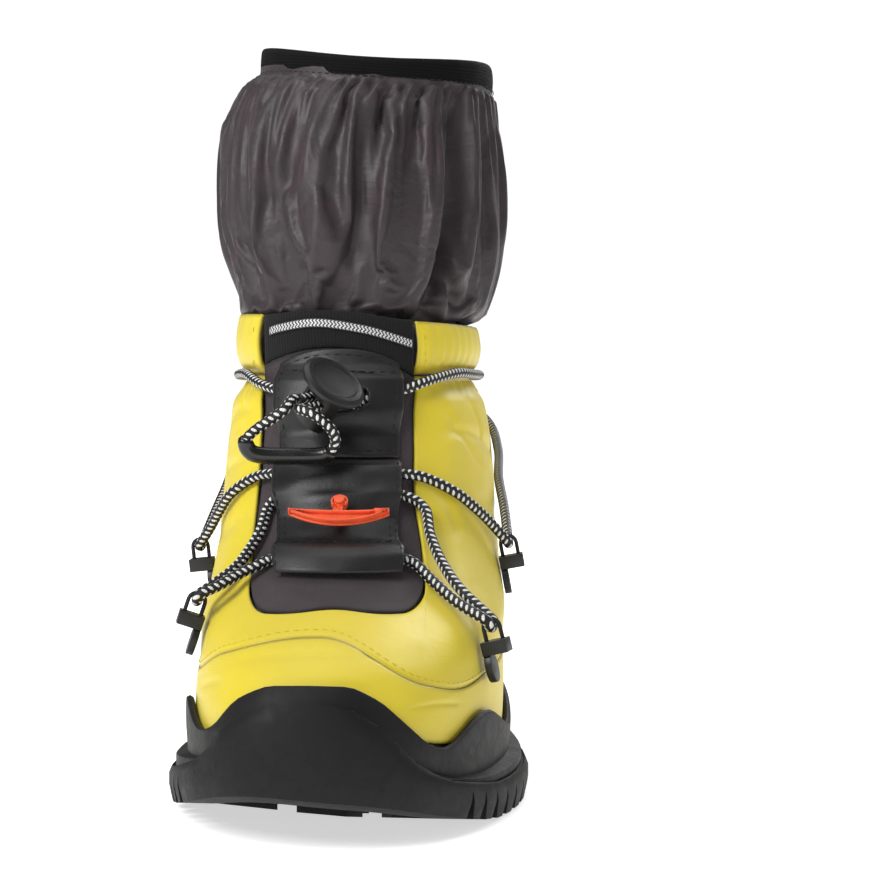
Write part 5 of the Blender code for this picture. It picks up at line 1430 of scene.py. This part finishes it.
MAIN_ROUTE = [
    (-15.3, -42.6, 130.7), (-5.5, -28.9, 132.5), (-3.4, -26.1, 132.8), (0.1, -20.4, 130.8), (6.2, -16.6, 135.7),
    (15.5, -12, 137.1), (22.8, -6, 139.9), (32.9, 11.4, 143.2), (38.3, 29.3, 143.1), (40.3, 57.6, 143),
    (37.5, 83.4, 142.9), (30.2, 102.9, 142.9), (20.5, 115.1, 142.9), (10.7, 122.9, 142.9), (3.5, 127.4, 142.8),
    (-5.4, 128.5, 142.7), (-14.4, 127.4, 142.7), (-21.5, 123, 140.9), (-36.2, 114.8, 136), (-51.4, 90.9, 124.4),
    (-55.5, 67.3, 113.3), (-55.4, 44.4, 102.4), (-57, 21.6, 91.6), (-58.6, -0.7, 80.8), (-58.6, -1.4, 80.5),
    (-58.6, -2.1, 80.4), (-58.7, -3.2, 80.5), (-58.7, -4.1, 80.9), (-53.8, -8.9, 87.8), (-49.6, -14.8, 94.2),
    (-44.4, -21, 100.7), (-36.1, -24.4, 106.2), (-28.1, -28.9, 107.8), (-19.3, -33.7, 107.9), (-10.5, -35.9, 108),
    (-1.3, -36.2, 108), (7.4, -35, 108), (16.2, -31.6, 107.9), (24.3, -28.7, 106.5), (34.5, -24.3, 101.4),
    (41.4, -17.3, 95.4), (46.6, -10.4, 89.8), (52.4, -4.4, 82.7), (52.5, -3.5, 82.3), (52.5, -2.5, 82.2),
    (52.5, -1.7, 82.4), (52.5, -1, 82.6), (50.5, 21.3, 93.8), (48, 44.2, 103.9), (47.2, 67.2, 114.4),
    (42.2, 90.8, 125.2), (26, 114.7, 136.2), (10.2, 121.5, 140.8), (2.9, 123.5, 142.9), (-5.4, 124.1, 142.9),
    (-13.7, 123.5, 142.9), (-21, 121.5, 142.9), (-31.3, 115.1, 142.8), (-41.1, 102.9, 142.7), (-48.4, 83.4, 142.7),
    (-51.1, 57.6, 142.8), (-49.2, 29.3, 142.9), (-43.8, 11.4, 143.1), (-37.6, -1.2, 139.7), (-30, -9.1, 137.1),
    (-20.6, -15.3, 135.6), (-10.4, -18.2, 134.9), (-6.1, -24.5, 136), (-8.1, -27.4, 135.6), (-17.9, -41, 133.9),
]
VAMP_ROUTE = [
    (16.7, -37.7, 101), (24.6, -38.4, 96.4), (27, -46, 87.7), (31.5, -55, 79), (38, -64, 71),
    (48.8, -71.3, 61.7), (48.8, -72.6, 60.4), (48.4, -74.3, 59.8), (47.8, -76.3, 60.4), (47, -77.4, 62.1),
    (36.5, -70.5, 67.8), (28.5, -64, 74), (23.6, -60.6, 78.4), (19.2, -60.6, 80.6),
    (10.4, -65.1, 80.7), (1.7, -67.3, 80.8), (-7.4, -67.5, 80.8), (-16.1, -66, 80.7), (-24.9, -62.2, 80.4),
    (-30, -63.5, 78.3), (-35.3, -66, 75.8), (-41, -70.5, 72.5), (-47.3, -74.5, 69.4),
    (-48.1, -73.3, 67.8), (-48.7, -71.3, 67.2), (-48.9, -69.6, 67.8), (-48.7, -68.3, 69.1), (-43, -64.4, 73),
    (-37.2, -58.6, 77.8), (-33.8, -52, 83), (-30.7, -46, 89.3), (-29.2, -39, 96.2), (-25.4, -37.2, 100),
    (-18.8, -40.1, 101), (-10.1, -42.3, 101), (-0.9, -42.6, 101), (7.8, -41.3, 101),
]
LOOP_ROUTE = [
    (-19.2, -42.7, 133.7), (-20.3, -44.3, 133.5), (-22.4, -47.7, 130.3), (-27.6, -48.1, 126.5), (-32.4, -47.5, 123.3),
    (-35.8, -46.5, 119.7), (-34.8, -45.7, 116.1), (-30.4, -45.1, 114.5), (-19.8, -44.3, 114.3), (-10.8, -44.3, 114.5),
    (-7.2, -45.1, 115.7), (-5.2, -46.7, 119.1), (-6.2, -48.3, 123.1), (-9.6, -49.3, 126.5), (-13.8, -49.1, 129.3),
    (-17.6, -45.9, 130.3), (-16.5, -44.2, 130.5),
]


def length_of(route):
    return float(running(route)[-1])


class BOOT_OT_laces(bpy.types.Operator):
    """Lay the drawcord, the vamp lace and the pull loop with its tube"""

    bl_idname = "boot.laces"
    bl_label = "Laces"

    def execute(self, context):
        radius = context.scene.boot_laces.diameter / 2
        main = smooth_route(MAIN_ROUTE, 1.2 * MM)
        lace = rope("ankle_drawcord", main, radius)
        dress(lace, "braid", "lace", "boot", "lace_main")
        ring = smooth_route([VAMP_ROUTE[-1], *VAMP_ROUTE, *VAMP_ROUTE[:2]], 1.2 * MM)
        meets = np.where(np.linalg.norm(ring - np.array(VAMP_ROUTE[0]) * MM, axis=1) < 1e-7)[0]
        loop = ring[meets[0]:meets[-1]]
        vamp = rope("vamp_lace", loop, radius, closed=True)
        dress(vamp, "braid", "lace", "boot", "lace_vamp")

        pull = smooth_route(LOOP_ROUTE, 0.8 * MM)
        cord = rope("pull_loop_braid", pull, radius)
        share = running(pull) / length_of(pull)
        grip = pull[(share > 0.28) & (share < 0.70)]
        tube = rope("pull_loop_grip", grip, radius + 1.0 * MM, sides=28,
                    bulge=lambda t: 1 - 0.22 * np.clip(1 - np.minimum(t, 1 - t) / 0.03, 0, 1) ** 2
                    + 0.05 * np.sin(PI * t))
        dress(cord, "braid", "lace", "pull_loop", "pull_loop_cord")
        dress(tube, "gloss", "tube_plastic", "pull_loop", "pull_loop_tube")
        return {"FINISHED"}


def faces_along(obj, way, least, low=None):
    """Selects, in edit mode, the faces that look along a direction and lie beyond a distance on it."""
    bpy.ops.object.mode_set(mode="OBJECT")
    way = Vector(way).normalized()
    reach = max(face.center.dot(way) for face in obj.data.polygons)
    for item in (*obj.data.vertices, *obj.data.edges):
        item.select = False
    for face in obj.data.polygons:
        face.select = face.normal.dot(way) > least and (low is None or face.center.dot(way) > reach - low)
    bpy.ops.object.mode_set(mode="EDIT")
    bpy.ops.mesh.select_mode(type="FACE")


def sink(border, wall, depth):
    """Insets the selected faces by a border, sinks what is inside it and leaves edit mode."""
    bpy.ops.mesh.inset(thickness=border, depth=0, use_even_offset=False)
    bpy.ops.mesh.inset(thickness=wall, depth=-depth, use_even_offset=False)
    bpy.ops.object.mode_set(mode="OBJECT")


class BOOT_OT_fittings(bpy.types.Operator):
    """Finish the cord lock, the orange pull tab and its rivet"""

    bl_idname = "boot.fittings"
    bl_label = "Cord lock and pull tab"

    def execute(self, context):
        joints = {joint["name"]: joint for joint in frame["joints"]}
        axis = -Vector(joints["lock_button_press"]["axis"])
        fitting("cord_lock_body", "lock_barrel", "plastic", "lock_plastic", "cord_lock", 0.5 * MM, 3, 40, 50)

        button = copy_of("cord_lock_button", "lock_disc")
        faces_along(button, axis, 0.9, 1.2 * MM)
        sink(1.6 * MM, 0.7 * MM, 0.5 * MM)
        bevelled(button, 0.3 * MM, 2, 25, 45)
        dress(button, "plastic", "lock_plastic", "lock_button", "cord_lock_button")
        spring = copy_of("cord_lock_spring", "lock_spring")
        bpy.ops.object.shade_smooth_by_angle(angle=math.radians(60))
        dress(spring, "steel", "steel", "cord_lock", "cord_lock_spring")
        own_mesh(spring)

        tab = copy_of("orange_pull", "orange_pull_tab")
        faces_along(tab, joints["pull_tab_swivel"]["axis"], 0.95, 0.2 * MM)
        sink(0.9 * MM, 0.25 * MM, 0.9 * MM)
        faces_along(tab, (0, -1, 0), 0.5)
        sink(0.55 * MM, 0.15 * MM, 0.9 * MM)
        bevelled(tab, 0.2 * MM, 2, 35, 50)
        dress(tab, "orange", "pull_orange", "pull_tab", "orange_pull")
        fitting("pull_rivet", "pull_tab_rivet", "orange", "rivet", "boot", 0.2 * MM, 2, 40, 50)
        return {"FINISHED"}


# ---------------------------------------------------------------- panel and registration
class BOOT_PT_parts(bpy.types.Panel):
    """Lists the boot's building steps and settings"""

    bl_idname = "BOOT_PT_parts"
    bl_label = "Mountain boot"
    bl_space_type = "VIEW_3D"
    bl_region_type = "UI"
    bl_category = "Boot"

    def draw(self, context):
        for step in STEPS:
            self.layout.operator(step.bl_idname)
        for group in (context.scene.boot_palette, context.scene.boot_upper, context.scene.boot_laces,
                      context.scene.boot_gaiter, context.scene.boot_stage):
            box = self.layout.box()
            for key in group.bl_rna.properties.keys():
                if key not in ("rna_type", "name"):
                    box.prop(group, key)


STEPS = (
    BOOT_OT_stage, BOOT_OT_laces, BOOT_OT_sole, BOOT_OT_shell, BOOT_OT_tongue, BOOT_OT_overlays,
    BOOT_OT_lining, BOOT_OT_guides, BOOT_OT_fittings, BOOT_OT_gaiter,
)
GROUPS = (
    ("boot_palette", BootPalette), ("boot_upper", BootUpper), ("boot_laces", BootLaces),
    ("boot_gaiter", BootGaiter), ("boot_stage", BootStage),
)


def register():
    for name, group in GROUPS:
        bpy.utils.register_class(group)
        setattr(bpy.types.Scene, name, bpy.props.PointerProperty(type=group))
    for step in (*STEPS, BOOT_PT_parts):
        bpy.utils.register_class(step)


def unregister():
    for step in reversed((*STEPS, BOOT_PT_parts)):
        bpy.utils.unregister_class(step)
    for name, group in reversed(GROUPS):
        delattr(bpy.types.Scene, name)
        bpy.utils.unregister_class(group)


def main():
    register()
    bpy.ops.boot.stage()
    bpy.ops.boot.laces()
    bpy.ops.boot.sole()
    bpy.ops.boot.shell()
    bpy.ops.boot.tongue()
    bpy.ops.boot.overlays()
    bpy.ops.boot.lining()
    bpy.ops.boot.guides()
    bpy.ops.boot.fittings()
    bpy.ops.boot.gaiter()
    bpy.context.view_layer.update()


if __name__ == "__main__":
    main()
